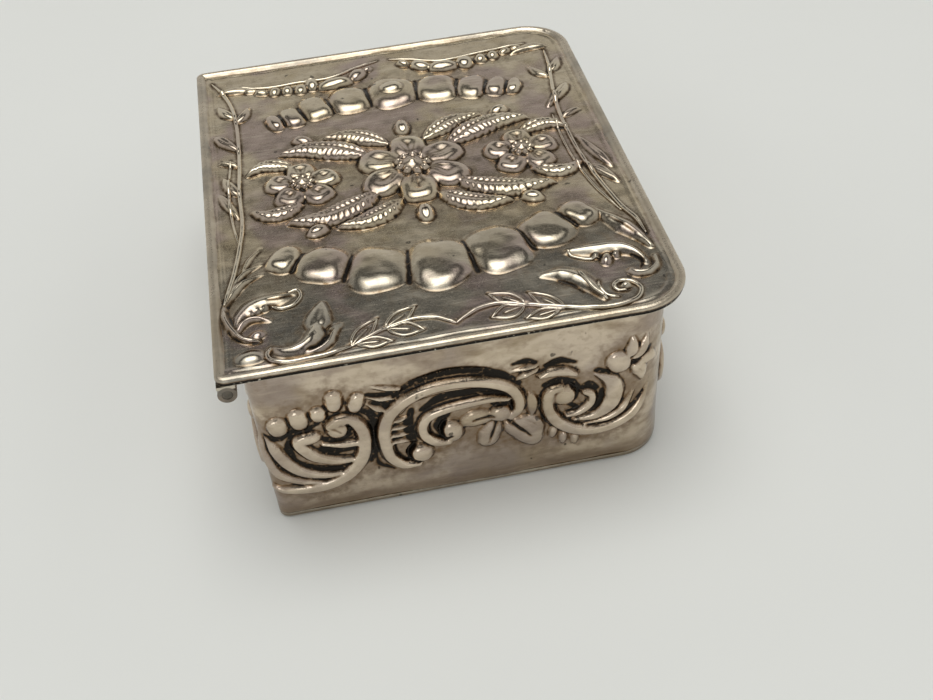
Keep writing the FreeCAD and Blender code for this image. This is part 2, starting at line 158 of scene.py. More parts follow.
def quad_strip(rows: int, cols: int, wrap_rows: bool = False, wrap_cols: bool = False) -> np.ndarray:
    """Corner numbers of the quads of a grid whose points are numbered row by row.

    Args:
        rows: Grid rows.
        cols: Grid columns.
        wrap_rows: Joins the last row to the first.
        wrap_cols: Joins the last column to the first.

    Returns:
        An array with four corner numbers in each row.
    """
    r = np.arange(rows if wrap_rows else rows - 1)[:, None]
    c = np.arange(cols if wrap_cols else cols - 1)[None, :]
    r2, c2 = (r + 1) % rows, (c + 1) % cols
    corners = [r * cols + c, r * cols + c2, r2 * cols + c2, r2 * cols + c]
    return np.stack(np.broadcast_arrays(*corners), axis=-1).reshape(-1, 4)


@dataclass
class MeshParts:
    """Points, quads and end polygons gathered for one piece, with numbers kept at each point."""

    points: list[np.ndarray] = field(default_factory=list)
    normals: list[np.ndarray] = field(default_factory=list)
    quads: list[np.ndarray] = field(default_factory=list)
    caps: list[np.ndarray] = field(default_factory=list)
    oxide: list[np.ndarray] = field(default_factory=list)
    polish: list[np.ndarray] = field(default_factory=list)
    count: int = 0

    def add(self, points: np.ndarray, quads: np.ndarray, caps: Sequence[np.ndarray] = (),
            oxide: np.ndarray | float = 0.0, polish: np.ndarray | float = 0.0,
            normals: np.ndarray | None = None) -> None:
        """Adds one grid.

        Args:
            points: Places in millimetres, in any array shape that ends in three numbers.
            quads: Corner numbers, counted from this grid's first point.
            caps: Corner numbers of end polygons.
            oxide: Darkness at each point, 0 to 1.
            polish: Rubbed brightness at each point, 0 to 1.
            normals: Shading directions; a piece has them for all its grids or for none.
        """
        flat = points.reshape(-1, 3)
        self.points.append(flat)
        self.quads.append(quads + self.count)
        self.caps.extend(np.asarray(cap) + self.count for cap in caps)
        self.oxide.append(np.broadcast_to(np.asarray(oxide, float).ravel(), (len(flat),)))
        self.polish.append(np.broadcast_to(np.asarray(polish, float).ravel(), (len(flat),)))
        if normals is not None:
            self.normals.append(np.broadcast_to(normals, points.shape).reshape(-1, 3))
        self.count += len(flat)

    def build(self, name: str) -> bpy.types.Object:
        """Writes the mesh in metres and links its object.

        Args:
            name: The piece's name.

        Returns:
            The object, at the origin.
        """
        points = np.concatenate(self.points) * MM
        quads = np.concatenate(self.quads)
        loops = np.concatenate([quads.ravel(), *self.caps]).astype(np.int32)
        totals = np.concatenate([np.full(len(quads), 4),
                                 [len(cap) for cap in self.caps]]).astype(np.int32)
        starts = np.concatenate([[0], np.cumsum(totals)[:-1]]).astype(np.int32)
        mesh = bpy.data.meshes.new(name)
        mesh.vertices.add(len(points))
        mesh.vertices.foreach_set("co", points.ravel())
        mesh.loops.add(len(loops))
        mesh.loops.foreach_set("vertex_index", loops)
        mesh.polygons.add(len(totals))
        mesh.polygons.foreach_set("loop_start", starts)
        mesh.polygons.foreach_set("loop_total", totals)
        mesh.polygons.foreach_set("use_smooth", np.ones(len(totals), bool))
        for label, values in (("oxide", self.oxide), ("polish", self.polish)):
            layer = mesh.attributes.new(label, "FLOAT", "POINT")
            layer.data.foreach_set("value", np.concatenate(values).astype(np.float32))
        mesh.update(calc_edges=True)
        mesh.validate()
        if self.normals:
            mesh.normals_split_custom_set_from_vertices(np.concatenate(self.normals).tolist())
        piece = bpy.data.objects.new(name, mesh)
        bpy.context.scene.collection.objects.link(piece)
        return piece

    def piece(self, name: str, body: Body, node: str, slot: Slot, material: bpy.types.Material) -> None:
        """Builds the mesh and ties it to the frame.

        Args:
            name: The piece's name.
            body: The body that it rides on.
            node: The CAD node that it stands for.
            slot: Its material slot; not used.
            material: Its material.
        """
        made = self.build(name)
        made.data.materials.append(material)
        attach(made, body.value)
        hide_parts(node)
        LOG.info("%s has %d faces", name, len(made.data.polygons))


@dataclass(frozen=True)
class Ring:
    """A rectangular path with rounded corners, run anticlockwise from the start of its front edge.

    The hinge side, at low x, has one corner radius and the opening side another.
    """

    x0: float
    x1: float
    y0: float
    y1: float
    hinge_r: float
    open_r: float

    @property
    def stretches(self) -> list[tuple[float, float, float, float, float]]:
        """Each stretch as start x, start y, heading, length and radius, which is 0 when straight."""
        quarter = math.pi / 2
        h, o = self.hinge_r, self.open_r
        return [
            (self.x0 + h, self.y0, 0.0, self.x1 - self.x0 - h - o, 0.0),
            (self.x1 - o, self.y0, 0.0, o * quarter, o),
            (self.x1, self.y0 + o, quarter, self.y1 - self.y0 - 2 * o, 0.0),
            (self.x1, self.y1 - o, quarter, o * quarter, o),
            (self.x1 - o, self.y1, 2 * quarter, self.x1 - self.x0 - h - o, 0.0),
            (self.x0 + h, self.y1, 2 * quarter, h * quarter, h),
            (self.x0, self.y1 - h, 3 * quarter, self.y1 - self.y0 - 2 * h, 0.0),
            (self.x0, self.y0 + h, 3 * quarter, h * quarter, h),
        ]

    @property
    def starts(self) -> np.ndarray:
        """Arc length at the start of each stretch, and at the end of the last."""
        return np.concatenate([[0.0], np.cumsum([s[3] for s in self.stretches])])

    def at(self, s: np.ndarray) -> tuple[np.ndarray, np.ndarray]:
        """Places on the path and its outward directions.

        Args:
            s: Arc lengths; any number of turns past either end wraps round.

        Returns:
            Two arrays, each with x and y in its last axis.
        """
        starts = self.starts
        s = np.mod(s, starts[-1])
        k = np.clip(np.searchsorted(starts, s, side="right") - 1, 0, 7)
        table = np.asarray(self.stretches)[k]
        t = s - starts[k]
        heading, radius = table[..., 2], table[..., 4]
        turn = np.where(radius > 0, t / np.maximum(radius, 1e-9), 0.0)
        straight = np.where(radius > 0, 0.0, t)
        out = heading + turn
        x = table[..., 0] + straight * np.cos(heading) + radius * (np.sin(out) - np.sin(heading))
        y = table[..., 1] + straight * np.sin(heading) - radius * (np.cos(out) - np.cos(heading))
        return np.stack([x, y], -1), np.stack([np.sin(out), -np.cos(out)], -1)

    def samples(self, step: float) -> np.ndarray:
        """Arc lengths for a closed sweep, a step apart on the straights and closer round the corners."""
        starts = self.starts
        counts = [max(int(s[3] / step), LEAST_STEPS) if s[4] == 0 else CORNER_STEPS for s in self.stretches]
        return np.concatenate([np.linspace(a, b, n, endpoint=False)
                               for a, b, n in zip(starts[:-1], starts[1:], counts)])

    def span(self, y: np.ndarray, inset: float) -> tuple[np.ndarray, np.ndarray]:
        """The lowest and highest x inside the path at each y, set in by inset."""
        gap = np.minimum(y - self.y0, self.y1 - y) - inset

        def bite(radius: float) -> np.ndarray:
            """How far the rounded corner takes from a row's end."""
            r = radius - inset
            return np.where(gap < r, r - np.sqrt(np.clip(r * r - (r - gap) ** 2, 0, None)), 0.0)

        return self.x0 + inset + bite(self.hinge_r), self.x1 - inset - bite(self.open_r)


# Stamped relief


@dataclass(frozen=True)
class Ridge:
    """A raised band along a curve; widths and rises are spread evenly along it.

    flat is the share of its width that is level before the shoulders fall away.
    """

    points: Curve
    width: float | Sequence[float]
    rise: float | Sequence[float]
    flat: float = 0.0


@dataclass(frozen=True)
class Groove:
    """A dark furrow along a curve."""

    points: Curve
    width: float | Sequence[float]
    depth: float = 0.12
    dark: float = 1.0


@dataclass(frozen=True)
class Pad:
    """A pillow: a superellipse in plan, with a crown, an optional dimple and an outline that may wobble."""

    x: float
    y: float
    length: float
    width: float
    rise: float
    turn: float = 0.0
    power: float = 2.3
    crown: float = 0.55
    dimple: float = 0.0
    wobble: float = 0.0
    fall: float = 2.2


@dataclass(frozen=True)
class Leaf:
    """A leaf along a curved spine, from its stalk to its tip.

    lobes notches its edge, veins is the number of side veins to each side.
    """

    spine: Curve
    width: float
    rise: float
    lobes: int = 0
    notch: float = 0.3
    veins: int = 0
    groove: float = 0.35
    belly: float = 0.42
    vein_depth: float = 0.2


Form = Ridge | Groove | Pad | Leaf


@dataclass
class Panel:
    """A stretch of sheet as a height field in millimetres, x across and y up.

    crisp is how far the bands' shoulders are squared off, from 0 to 1.
    """

    xs: np.ndarray
    ys: np.ndarray
    crisp: float = 0.0
    height: np.ndarray = field(init=False)
    dark: np.ndarray = field(init=False)

    def __post_init__(self) -> None:
        """Starts flat and clean."""
        self.height = np.zeros((len(self.ys), len(self.xs)))
        self.dark = np.zeros_like(self.height)

    @classmethod
    def sized(cls, x0: float, x1: float, y0: float, y1: float, cell: float,
              crisp: float = 0.0) -> "Panel":
        """A flat panel over a rectangle, with cells of about the given size."""
        nx, ny = int(round((x1 - x0) / cell)) + 1, int(round((y1 - y0) / cell)) + 1
        return cls(np.linspace(x0, x1, nx), np.linspace(y0, y1, ny), crisp)

    def seen_from(self, origin: float, mirrored: bool = False) -> "Panel":
        """The same sheet with x measured from another place.

        Args:
            origin: The place that becomes 0.
            mirrored: Runs x the other way.

        Returns:
            A panel that shares this one's heights and darkness.
        """
        way = slice(None, None, -1 if mirrored else 1)
        shared = Panel((origin - self.xs)[way] if mirrored else self.xs - origin, self.ys, self.crisp)
        shared.height, shared.dark = self.height[:, way], self.dark[:, way]
        return shared

    def window(self, low: np.ndarray, high: np.ndarray) -> tuple[Index, np.ndarray, np.ndarray]:
        """The part of the grid between two corners.

        Args:
            low: Lowest x and y.
            high: Highest x and y.

        Returns:
            The index of that part, and its x and y as grids.
        """
        c0, c1 = np.searchsorted(self.xs, [low[0], high[0]])
        r0, r1 = np.searchsorted(self.ys, [low[1], high[1]])
        x, y = np.meshgrid(self.xs[c0:c1], self.ys[r0:r1])
        return (slice(r0, r1), slice(c0, c1)), x, y

    def along(self, curve: np.ndarray, reach: float) -> tuple[Index, np.ndarray, np.ndarray]:
        """Where grid points lie beside a curve.

        The nearest sample is found first; its tangent then gives the way along and the distance across.

        Args:
            curve: Samples of the curve.
            reach: How far from it to look.

        Returns:
            The grid index, the way along from 0 to 1 and the signed distance, left of the curve positive.
        """
        index, x, y = self.window(curve.min(0) - reach, curve.max(0) + reach)
        near = np.zeros(x.shape, int)
        best = np.full(x.shape, np.inf)
        for start in range(0, len(curve), BATCH):
            part = curve[start:start + BATCH]
            gap = (x[..., None] - part[:, 0]) ** 2 + (y[..., None] - part[:, 1]) ** 2
            k = gap.argmin(-1)
            value = np.take_along_axis(gap, k[..., None], -1)[..., 0]
            near = np.where(value < best, k + start, near)
            best = np.minimum(best, value)
        ahead = np.gradient(curve, axis=0)
        step = np.linalg.norm(ahead, axis=1)
        tangent = (ahead / step[:, None])[near]
        dx, dy = x - curve[near, 0], y - curve[near, 1]
        along = dx * tangent[..., 0] + dy * tangent[..., 1]
        across = tangent[..., 0] * dy - tangent[..., 1] * dx
        last = len(curve) - 1
        past = ((near == 0) & (along < 0)) | ((near == last) & (along > 0))
        gap = np.where(past, np.sqrt(best) * np.where(across < 0, -1.0, 1.0), across)
        return index, np.clip((near + along / step[near]) / last, 0, 1), gap

    def lift(self, index: Index, form: np.ndarray, lay: Lay = Lay.GROUND) -> None:
        """Raises the sheet to a form, or by it when it rides on top, and wipes the darkness off it."""
        if lay is Lay.ON_TOP:
            self.height[index] += form
        else:
            self.height[index] = np.maximum(self.height[index], form)
        self.dark[index] *= 1 - np.clip(form / CLEAN_RISE, 0, 1)

    def ridge(self, form: Ridge) -> None:
        """Height is the rise over the flat, a little crowned, then a quarter sine down to the edge."""
        curve = smooth_curve(form.points)
        half = spread(form.width, len(curve)) / 2
        rise = spread(form.rise, len(curve))
        way = np.linspace(0.0, 1.0, len(curve))
        index, along, gap = self.along(curve, half.max() * REACH_MARGIN)
        r = np.abs(gap) / np.interp(along, way, half)
        flat = form.flat + (1 - form.flat) * self.crisp
        share = np.sin(np.pi / 2 * np.clip((1 - r) / (1 - flat), 0, 1))
        self.lift(index, np.interp(along, way, rise) * share * (1 - BAND_CROWN * np.minimum(r, 1) ** 2))

    def groove(self, form: Groove) -> None:
        """A furrow cut by a parabola across, and darkened."""
        curve = smooth_curve(form.points)
        half = spread(form.width, len(curve)) / 2
        way = np.linspace(0.0, 1.0, len(curve))
        index, along, gap = self.along(curve, half.max() * REACH_MARGIN)
        share = np.clip(1 - (gap / np.interp(along, way, half)) ** 2, 0, None)
        self.height[index] -= form.depth * share
        self.dark[index] = np.maximum(self.dark[index], form.dark * np.minimum(share * SOOT_SPREAD, 1.0))

    def pad(self, form: Pad, lay: Lay = Lay.GROUND) -> None:
        """Height falls off with the superellipse radius; a dimple hollows the middle.

        A wobbling outline has three waves and five weaker ones round it, turned by the pad's place.
        """
        place = np.array([form.x, form.y])
        reach = max(form.length, form.width) * PAD_REACH
        index, x, y = self.window(place - reach, place + reach)
        c, s = math.cos(math.radians(form.turn)), math.sin(math.radians(form.turn))
        a = np.abs((x - form.x) * c + (y - form.y) * s) * 2 / form.length
        b = np.abs((y - form.y) * c - (x - form.x) * s) * 2 / form.width
        r = (a**form.power + b**form.power) ** (1 / form.power)
        if form.wobble:
            angle = np.arctan2(y - form.y, x - form.x)
            wave = np.sin(3 * angle + 2.1 * form.x) + 0.7 * np.sin(5 * angle + 1.3 * form.y)
            r = r * (1 + form.wobble * wave)
        crown = np.clip(1 - r**form.fall, 0, None) ** form.crown
        self.lift(index, form.rise * crown * (1 - form.dimple * np.exp(-((r / DIMPLE_REACH) ** 2))), lay)

    def leaf(self, form: Leaf) -> None:
        """Half width swells from the stalk and narrows to the tip, cut into lobes; veins are furrows."""
        curve = smooth_curve(form.spine)
        s = np.linspace(0.0, 1.0, len(curve))
        beyond = np.clip((s - form.belly) / (1 - form.belly), 0, 1)
        swell = np.where(s < form.belly, np.sin(np.pi / 2 * np.clip(s / form.belly, 0, 1)) ** LEAF_SWELL,
                         np.cos(np.pi / 2 * beyond) ** LEAF_TAPER)
        index, way, gap = self.along(curve, form.width * LEAF_REACH)
        full = np.interp(way, s, swell)
        half = form.width / 2 * np.maximum(full, 1e-4)
        side = np.abs(gap) / half
        if form.lobes:
            saw = np.mod(way * form.lobes + LOBE_SLANT * side, 1.0)
            side = side / (1 - form.notch * saw**2)
        share = np.clip(1 - side**LEAF_FALL, 0, None) ** 0.5
        body = form.rise * share * (LEAF_LEAST + (1 - LEAF_LEAST) * np.sqrt(np.maximum(full, 0)))
        rib = np.exp(-((gap / (RIB_WIDTH * form.width)) ** 2))
        body *= 1 - form.groove * rib * np.clip(RIB_END - way, 0, 1)
        if form.veins:
            wave = 0.5 + 0.5 * np.cos(2 * np.pi * (way * form.veins - VEIN_SLANT * side))
            body *= 1 - form.vein_depth * wave**2 * np.clip(side * VEIN_START, 0, 1)
        self.lift(index, body)

    def stamp(self, forms: Sequence[Form]) -> None:
        """Adds forms of any kind in order."""
        ways = {Groove: self.groove, Ridge: self.ridge, Pad: self.pad, Leaf: self.leaf}
        for form in forms:
            ways[type(form)](form)

    def blurred(self, radius: float, values: np.ndarray | None = None, passes: int = 3) -> np.ndarray:
        """The heights, or other values, averaged over a square of the given half side, a few times over."""
        out = self.height if values is None else values
        for axis, line in ((0, self.ys), (1, self.xs)):
            n = max(int(round(radius / (line[1] - line[0]))), 1)
            for _ in range(passes):
                padded = np.pad(out, [(n + 1, n) if a == axis else (0, 0) for a in (0, 1)], mode="edge")
                total = np.cumsum(padded, axis=axis)
                size = 2 * n + 1
                take = [slice(None), slice(None)]
                drop = [slice(None), slice(None)]
                take[axis], drop[axis] = slice(size, None), slice(None, -size)
                out = (total[tuple(take)] - total[tuple(drop)]) / size
        return out

    def uneven(self, scale: float, amount: float, seed: int, raised: float = 0.0) -> None:
        """Small dents all over, faded at both ends: noise averaged over the scale and brought to a depth.

        Args:
            scale: Half the side of the squares that the noise is averaged over.
            amount: Depth of the dents.
            seed: Seed of the noise.
            raised: Share by which the dents are deeper on forms of half a millimetre and more.
        """
        noise = self.blurred(scale, np.random.default_rng(seed).standard_normal(self.height.shape))
        fade = np.clip(np.minimum(self.xs - self.xs[0], self.xs[-1] - self.xs) / scale, 0, 1)
        depth = amount * fade * (1 + raised * np.clip(self.height / RAISED, 0, 1))
        self.height = self.height + depth * noise / noise.std()

    def oxide(self, crease: float, halo: float) -> np.ndarray:
        """Darkness left where the sheet lies below what is near it, with the dark furrows added.

        Args:
            crease: Strength of the thin line at the foot of each form.
            halo: Strength of the wide shade round it.

        Returns:
            Darkness from 0 to 1.
        """
        thin = (self.blurred(CREASE_REACH) - self.height) * crease
        wide = np.minimum((self.blurred(HALO_REACH) - self.height) * halo, HALO_MOST)
        return np.clip(np.maximum(thin, wide) + self.blurred(SOOT_SOFTNESS, self.dark, 1), 0, 1)

    def polish(self, reach: float, gain: float) -> np.ndarray:
        """Rubbed brightness where the sheet stands above its surroundings."""
        return np.clip((self.height - self.blurred(reach)) * gain, 0, 1)

    def sample(self, values: np.ndarray, x: np.ndarray, y: np.ndarray) -> np.ndarray:
        """Values of a grid at any places, by straight interpolation between its points."""
        c = np.clip((x - self.xs[0]) / (self.xs[1] - self.xs[0]), 0, len(self.xs) - LAST_CELL)
        r = np.clip((y - self.ys[0]) / (self.ys[1] - self.ys[0]), 0, len(self.ys) - LAST_CELL)
        c0, r0 = c.astype(int), r.astype(int)
        fc, fr = c - c0, r - r0
        low = (1 - fc) * values[r0, c0] + fc * values[r0, c0 + 1]
        high = (1 - fc) * values[r0 + 1, c0] + fc * values[r0 + 1, c0 + 1]
        return (1 - fr) * low + fr * high


# Finishes

# Noise scales, from wide clouds of tarnish down to the grain of the metal.
CLOUD_SCALE, BLOT_SCALE = 130.0, 420.0
WARM_SCALE, BLUSH_SCALE, LOW_DARK_SCALE = 95.0, 150.0, 260.0
PIT_SCALE, SPOT_SCALE, GLINT_SPECK_SCALE, GRAIN_SCALE = 800.0, 1500.0, 2600.0, 5200.0
# Noise from which each kind of mark starts to show, and at which it fully does.
CLOUDED, BLOTTED, BLUSHED = (0.44, 0.57), (0.44, 0.62), (0.50, 0.64)
WARMED, LOW_DARK_EDGE, SPECKED = (0.42, 0.58), (0.0, 0.9), (0.48, 0.72)
SCRATCHED, PITTED, GLINT_SPECKED = (0.53, 0.66), (0.745, 0.775), (0.60, 0.70)
# The most of each kind of mark that shows, and how far rubbing takes tarnish and blush away.
LOW_DARK_MOST, SPECK_MOST, STAIN_MOST, PIT_MOST, GLINT_SPECK_MOST = 0.75, 0.35, 0.8, 0.7, 0.75
RUBBED_CLEAN, RUBBED_BLUSH = 0.8, 0.55
# How ragged the edges of warm metal, of the darkening near the table and of oxide are, and how steeply that
# darkening climbs.
WARM_RAGGED, LOW_DARK_RAGGED, OXIDE_RAGGED, LOW_DARK_CLIMB = 1.5, 1.4, 0.9, 1.6
# What is added to the noise in the middle of the lid, so that it blushes more.
BLUSH_BOOST = 0.10
# Roughness added by tarnish, grain and black, and metal taken away by black; the black is black oxide, and
# on the backing plate's edge a painted shadow line.
DULL_ROUGH, GRAIN_ROUGH, BLACK_ROUGH, BLACK_METAL_DROP = 0.08, 0.16, 0.04, 0.2
# Shares of both sets of scratches and of the grain in the bump.
HAIR_BUMP, CROSS_BUMP, GRAIN_BUMP = 0.6, 0.25, 0.5
# The middle of the noise's range.
EVEN = 0.5
# Clouds are stretched to lie level, and both sets of scratches have a stretch and a turn of their own.
LYING = (1.0, 1.0, 2.2)
HAIR_SCRATCHES = ((300.0, 3400.0, 3400.0), 6.0)
CROSS_SCRATCHES = ((7000.0, 700.0, 900.0), -24.0)
# Oxide from which metal starts to look stained, brown and black, and at which it fully does.
STAINED, BROWNED, BLACKENED = (0.02, 0.22), (0.20, 0.44), (0.40, 0.66)
# Where blushed patches set in and fade out along the lid, in metres.
BLUSH_START, BLUSH_END = (-0.011, -0.005), (0.009, 0.015)
SCRATCH_DEPTH = 0.00006


class Val:
    """A shader socket that adds a Math node when it is used in an expression."""

    def __init__(self, book: "Book", socket: bpy.types.NodeSocket) -> None:
        """Keeps the socket and the tree it belongs to."""
        self.book, self.socket = book, socket

    def math(self, operation: str, first: "Val | float", second: "Val | float") -> "Val":
        """A Math node on two values."""
        return self.book.add("ShaderNodeMath", {"operation": operation}, {0: first, 1: second})

    def __add__(self, other: "Val | float") -> "Val":
        """This plus other."""
        return self.math("ADD", self, other)

    __radd__ = __add__

    def __mul__(self, other: "Val | float") -> "Val":
        """This times other."""
        return self.math("MULTIPLY", self, other)

    __rmul__ = __mul__

    def __sub__(self, other: "Val | float") -> "Val":
        """This less other."""
        return self.math("SUBTRACT", self, other)

    def __rsub__(self, other: "Val | float") -> "Val":
        """Other less this."""
        return self.math("SUBTRACT", other, self)

    def clamped(self) -> "Val":
        """This held between 0 and 1."""
        return self.book.add("ShaderNodeClamp", {}, {"Value": self})

    def between(self, low: float, high: float) -> "Val":
        """A smooth step from 0 at low to 1 at high."""
        return self.book.add("ShaderNodeMapRange", {"interpolation_type": "SMOOTHSTEP"},
                             {"Value": self, "From Min": low, "From Max": high})


class Book:
    """The node tree of one material, or of the world."""

    def __init__(self, owner: bpy.types.Material | bpy.types.World) -> None:
        """Starts with an empty tree."""
        owner.use_nodes = True
        self.owner, self.tree = owner, owner.node_tree
        self.tree.nodes.clear()

    def add(self, kind: str, settings: dict, sockets: dict, out: int | str = 0) -> Val:
        """Adds any node.

        Args:
            kind: The node's type.
            settings: Its own properties, set first.
            sockets: Values or links by socket name or number.
            out: The output to return.

        Returns:
            That output, ready for use in an expression.
        """
        node = self.tree.nodes.new(kind)
        for label, value in settings.items():
            setattr(node, label, value)
        for label, value in sockets.items():
            if isinstance(value, Val):
                self.tree.links.new(value.socket, node.inputs[label])
            else:
                node.inputs[label].default_value = value
        return Val(self, node.outputs[out])

    def place(self, scale: Sequence[float] = (1, 1, 1), turn: float = 0.0) -> Val:
        """Object coordinates, stretched and turned about the vertical."""
        spot = self.add("ShaderNodeTexCoord", {}, {}, "Object")
        return self.add("ShaderNodeMapping", {}, {"Vector": spot, "Scale": tuple(scale),
                                                  "Rotation": (0.0, 0.0, math.radians(turn))})

    def along_y(self) -> Val:
        """The place along the hinge, in metres."""
        return self.add("ShaderNodeSeparateXYZ", {}, {"Vector": self.place()}, "Y")

    def height(self) -> Val:
        """Height above the table, in metres."""
        return self.add("ShaderNodeSeparateXYZ", {}, {"Vector": self.place()}, "Z")

    def noise(self, where: Val, scale: float, detail: float = 3.0, rough: float = 0.55) -> Val:
        """Cloudy noise."""
        return self.add("ShaderNodeTexNoise", {}, {"Vector": where, "Scale": scale, "Detail": detail,
                                                   "Roughness": rough})

    def kept(self, label: str) -> Val:
        """A number kept at each point of the mesh."""
        return self.add("ShaderNodeAttribute", {"attribute_name": label}, {}, "Fac")

    def blend(self, share: Val, low: Val | Sequence[float], high: Val | Sequence[float]) -> Val:
        """A colour between two others."""
        return self.add("ShaderNodeMix", {"data_type": "RGBA"}, {0: share, 6: low, 7: high}, 2)

    def bump(self, height: Val, strength: float, distance: float) -> Val:
        """A bumped normal from a height."""
        sockets = {"Height": height, "Strength": strength, "Distance": distance}
        return self.add("ShaderNodeBump", {}, sockets, "Normal")

    def close(self, surface: Val, kind: str) -> None:
        """Joins a surface to an output node of the given type."""
        output = self.tree.nodes.new(kind)
        self.tree.links.new(surface.socket, output.inputs["Surface"])

    def finish(self, sockets: dict) -> bpy.types.Material:
        """Joins a Principled surface with the given sockets to the output and returns the material."""
        surface = self.add("ShaderNodeBsdfPrincipled", {}, sockets, "BSDF")
        self.close(surface, "ShaderNodeOutputMaterial")
        return self.owner


@dataclass(frozen=True)
class SilverFinish:
    """Old silver: worn bright on its high places, clouded by tarnish, brown and then black in its recesses.

    dulling is the least cloud on unrubbed metal.  dark_reflection_span gives two places along y between
    which the cold grey gives way to warm tarnish; on the lid it darkens the front as a painted dark
    reflection.  darkened_below is how high the metal is darkened towards the table, and shadow_line_above is
    a height above which the metal is painted black as a shadow line, all in millimetres.  streaks is the
    strength of the scratches, and patching is the share of the clouds that lies in wide patches.
    """

    name: str
    bright: Colour = (0.78, 0.71, 0.59, 1.0)
    cloud: Colour = (0.37, 0.31, 0.22, 1.0)
    cool_tone_and_dark_reflection: Colour = (0.21, 0.20, 0.178, 1.0)
    blush: Colour = (0.42, 0.33, 0.30, 1.0)
    brown: Colour = (0.20, 0.127, 0.07, 1.0)
    stain: Colour = (0.33, 0.255, 0.185, 1.0)
    black: Colour = (0.014, 0.011, 0.008, 1.0)
    sheen: float = 0.24
    dulling: float = 0.0
    clouding: float = 0.9
    blushing: float = 0.0
    rubbing: float = 0.10
    dark_reflection_span: Point | None = None
    darkened_below: float = 0.0
    shadow_line_above: float = 0.0
    dents: float = 0.35
    streaks: float = 0.12
    patching: float = 0.55

    def material(self) -> bpy.types.Material:
        """The finish as a node material.

        Returns:
            A metal whose colour and roughness follow the kept oxide and polish, with fine scratches.
        """
        book = Book(bpy.data.materials.new(self.name))
        where = book.place()
        oxide, polish = book.kept("oxide"), book.kept("polish")
        raw = 1.0 - polish * RUBBED_CLEAN
        level = book.place(LYING)
        clouds = book.noise(level, CLOUD_SCALE, 4.0).between(*CLOUDED)
        blots = book.noise(level, BLOT_SCALE, 4.0, 0.6).between(*BLOTTED)
        spots = book.noise(where, SPOT_SCALE, 3.0)
        grain = book.noise(where, GRAIN_SCALE, 2.0)
        hair = book.noise(book.place(*HAIR_SCRATCHES), 1.0, 3.0, 0.65)
        cross = book.noise(book.place(*CROSS_SCRATCHES), 1.0, 2.0)
        mottle = clouds * self.patching + blots * (1.0 - self.patching)
        dull = self.dulling + mottle * (1.0 - self.dulling)
        dull = (dull * self.clouding * raw).clamped()
        warm = book.noise(where, WARM_SCALE, 2.0)
        # Along y, the cold grey on the lid's front is a painted dark reflection, fading into warm tarnish
        # behind.
        if self.dark_reflection_span:
            near, far = (v * MM for v in self.dark_reflection_span)
            warm = book.along_y() + (warm - EVEN) * (WARM_RAGGED * (far - near))
        else:
            near, far = WARMED
        tarnish_and_dark_reflection = book.blend(warm.between(near, far), self.cool_tone_and_dark_reflection, self.cloud)
        colour = book.blend(dull, self.bright, tarnish_and_dark_reflection)
        if self.blushing:
            middle = book.along_y().between(*BLUSH_START) * (1.0 - book.along_y().between(*BLUSH_END))
            patches = (book.noise(where, BLUSH_SCALE, 2.0) + middle * BLUSH_BOOST).between(*BLUSHED)
            share = patches * self.blushing * (1.0 - polish * RUBBED_BLUSH)
            colour = book.blend(share.clamped(), colour, self.blush)
        # Darker towards the table, with ragged edges.
        if self.darkened_below:
            low = 1.0 - book.height() * (1.0 / (self.darkened_below * MM))
            ragged = (book.noise(level, LOW_DARK_SCALE, 4.0, 0.6) - EVEN) * LOW_DARK_RAGGED
            low_dark = (low * LOW_DARK_CLIMB + ragged).between(*LOW_DARK_EDGE) * LOW_DARK_MOST
            colour = book.blend((low_dark * raw).clamped(), colour, self.stain)
        speck = spots.between(*SPECKED) * SPECK_MOST * raw
        colour = book.blend(speck.clamped(), colour, self.stain)
        colour = book.blend(hair.between(*SCRATCHED) * self.streaks, colour, self.bright)
        halfway = oxide * (1.0 - oxide) * 4.0
        ragged = oxide + (spots - EVEN) * OXIDE_RAGGED * halfway
        colour = book.blend(ragged.between(*STAINED) * STAIN_MOST, colour, self.stain)
        colour = book.blend(ragged.between(*BROWNED), colour, self.brown)
        pits = book.noise(where, PIT_SCALE, 1.0).between(*PITTED) * PIT_MOST
        soot_and_shadow_line = (ragged.between(*BLACKENED) + pits).clamped()
        # On the backing plate the black comes from height instead: its edge is painted black as a shadow
        # line under the rim.
        if self.shadow_line_above:
            soot_and_shadow_line = book.height().between(self.shadow_line_above * MM, (self.shadow_line_above + SHADOW_LINE_FADE) * MM)
        # Light specks in the black: worn metal showing through, and painted glints.
        specks_and_glints = book.noise(where, GLINT_SPECK_SCALE, 2.0).between(*GLINT_SPECKED) * GLINT_SPECK_MOST
        colour = book.blend((soot_and_shadow_line * (1.0 - specks_and_glints)).clamped(), colour, self.black)
        rough = self.sheen + dull * DULL_ROUGH + (grain - EVEN) * GRAIN_ROUGH
        rough = rough + soot_and_shadow_line * BLACK_ROUGH - polish * self.rubbing
        height = hair * HAIR_BUMP + cross * CROSS_BUMP + grain * GRAIN_BUMP + spots
        return book.finish({
            "Base Color": colour,
            "Metallic": (1.0 - soot_and_shadow_line * BLACK_METAL_DROP).clamped(),
            "Roughness": rough.clamped(),
            "Normal": book.bump(height, self.dents, SCRATCH_DEPTH),
        })


# The lid

# An outlined leaf's sides bow out by these shares of its length and half width, and its rib runs this far.
LEAF_BOW = ((0.22, 0.75), (0.55, 1.0))
RIB_REACH = 0.62
# Thickness of its sides and of its rib, as shares of a stem's.
SIDE_LINE, RIB_LINE = 0.66, 0.45


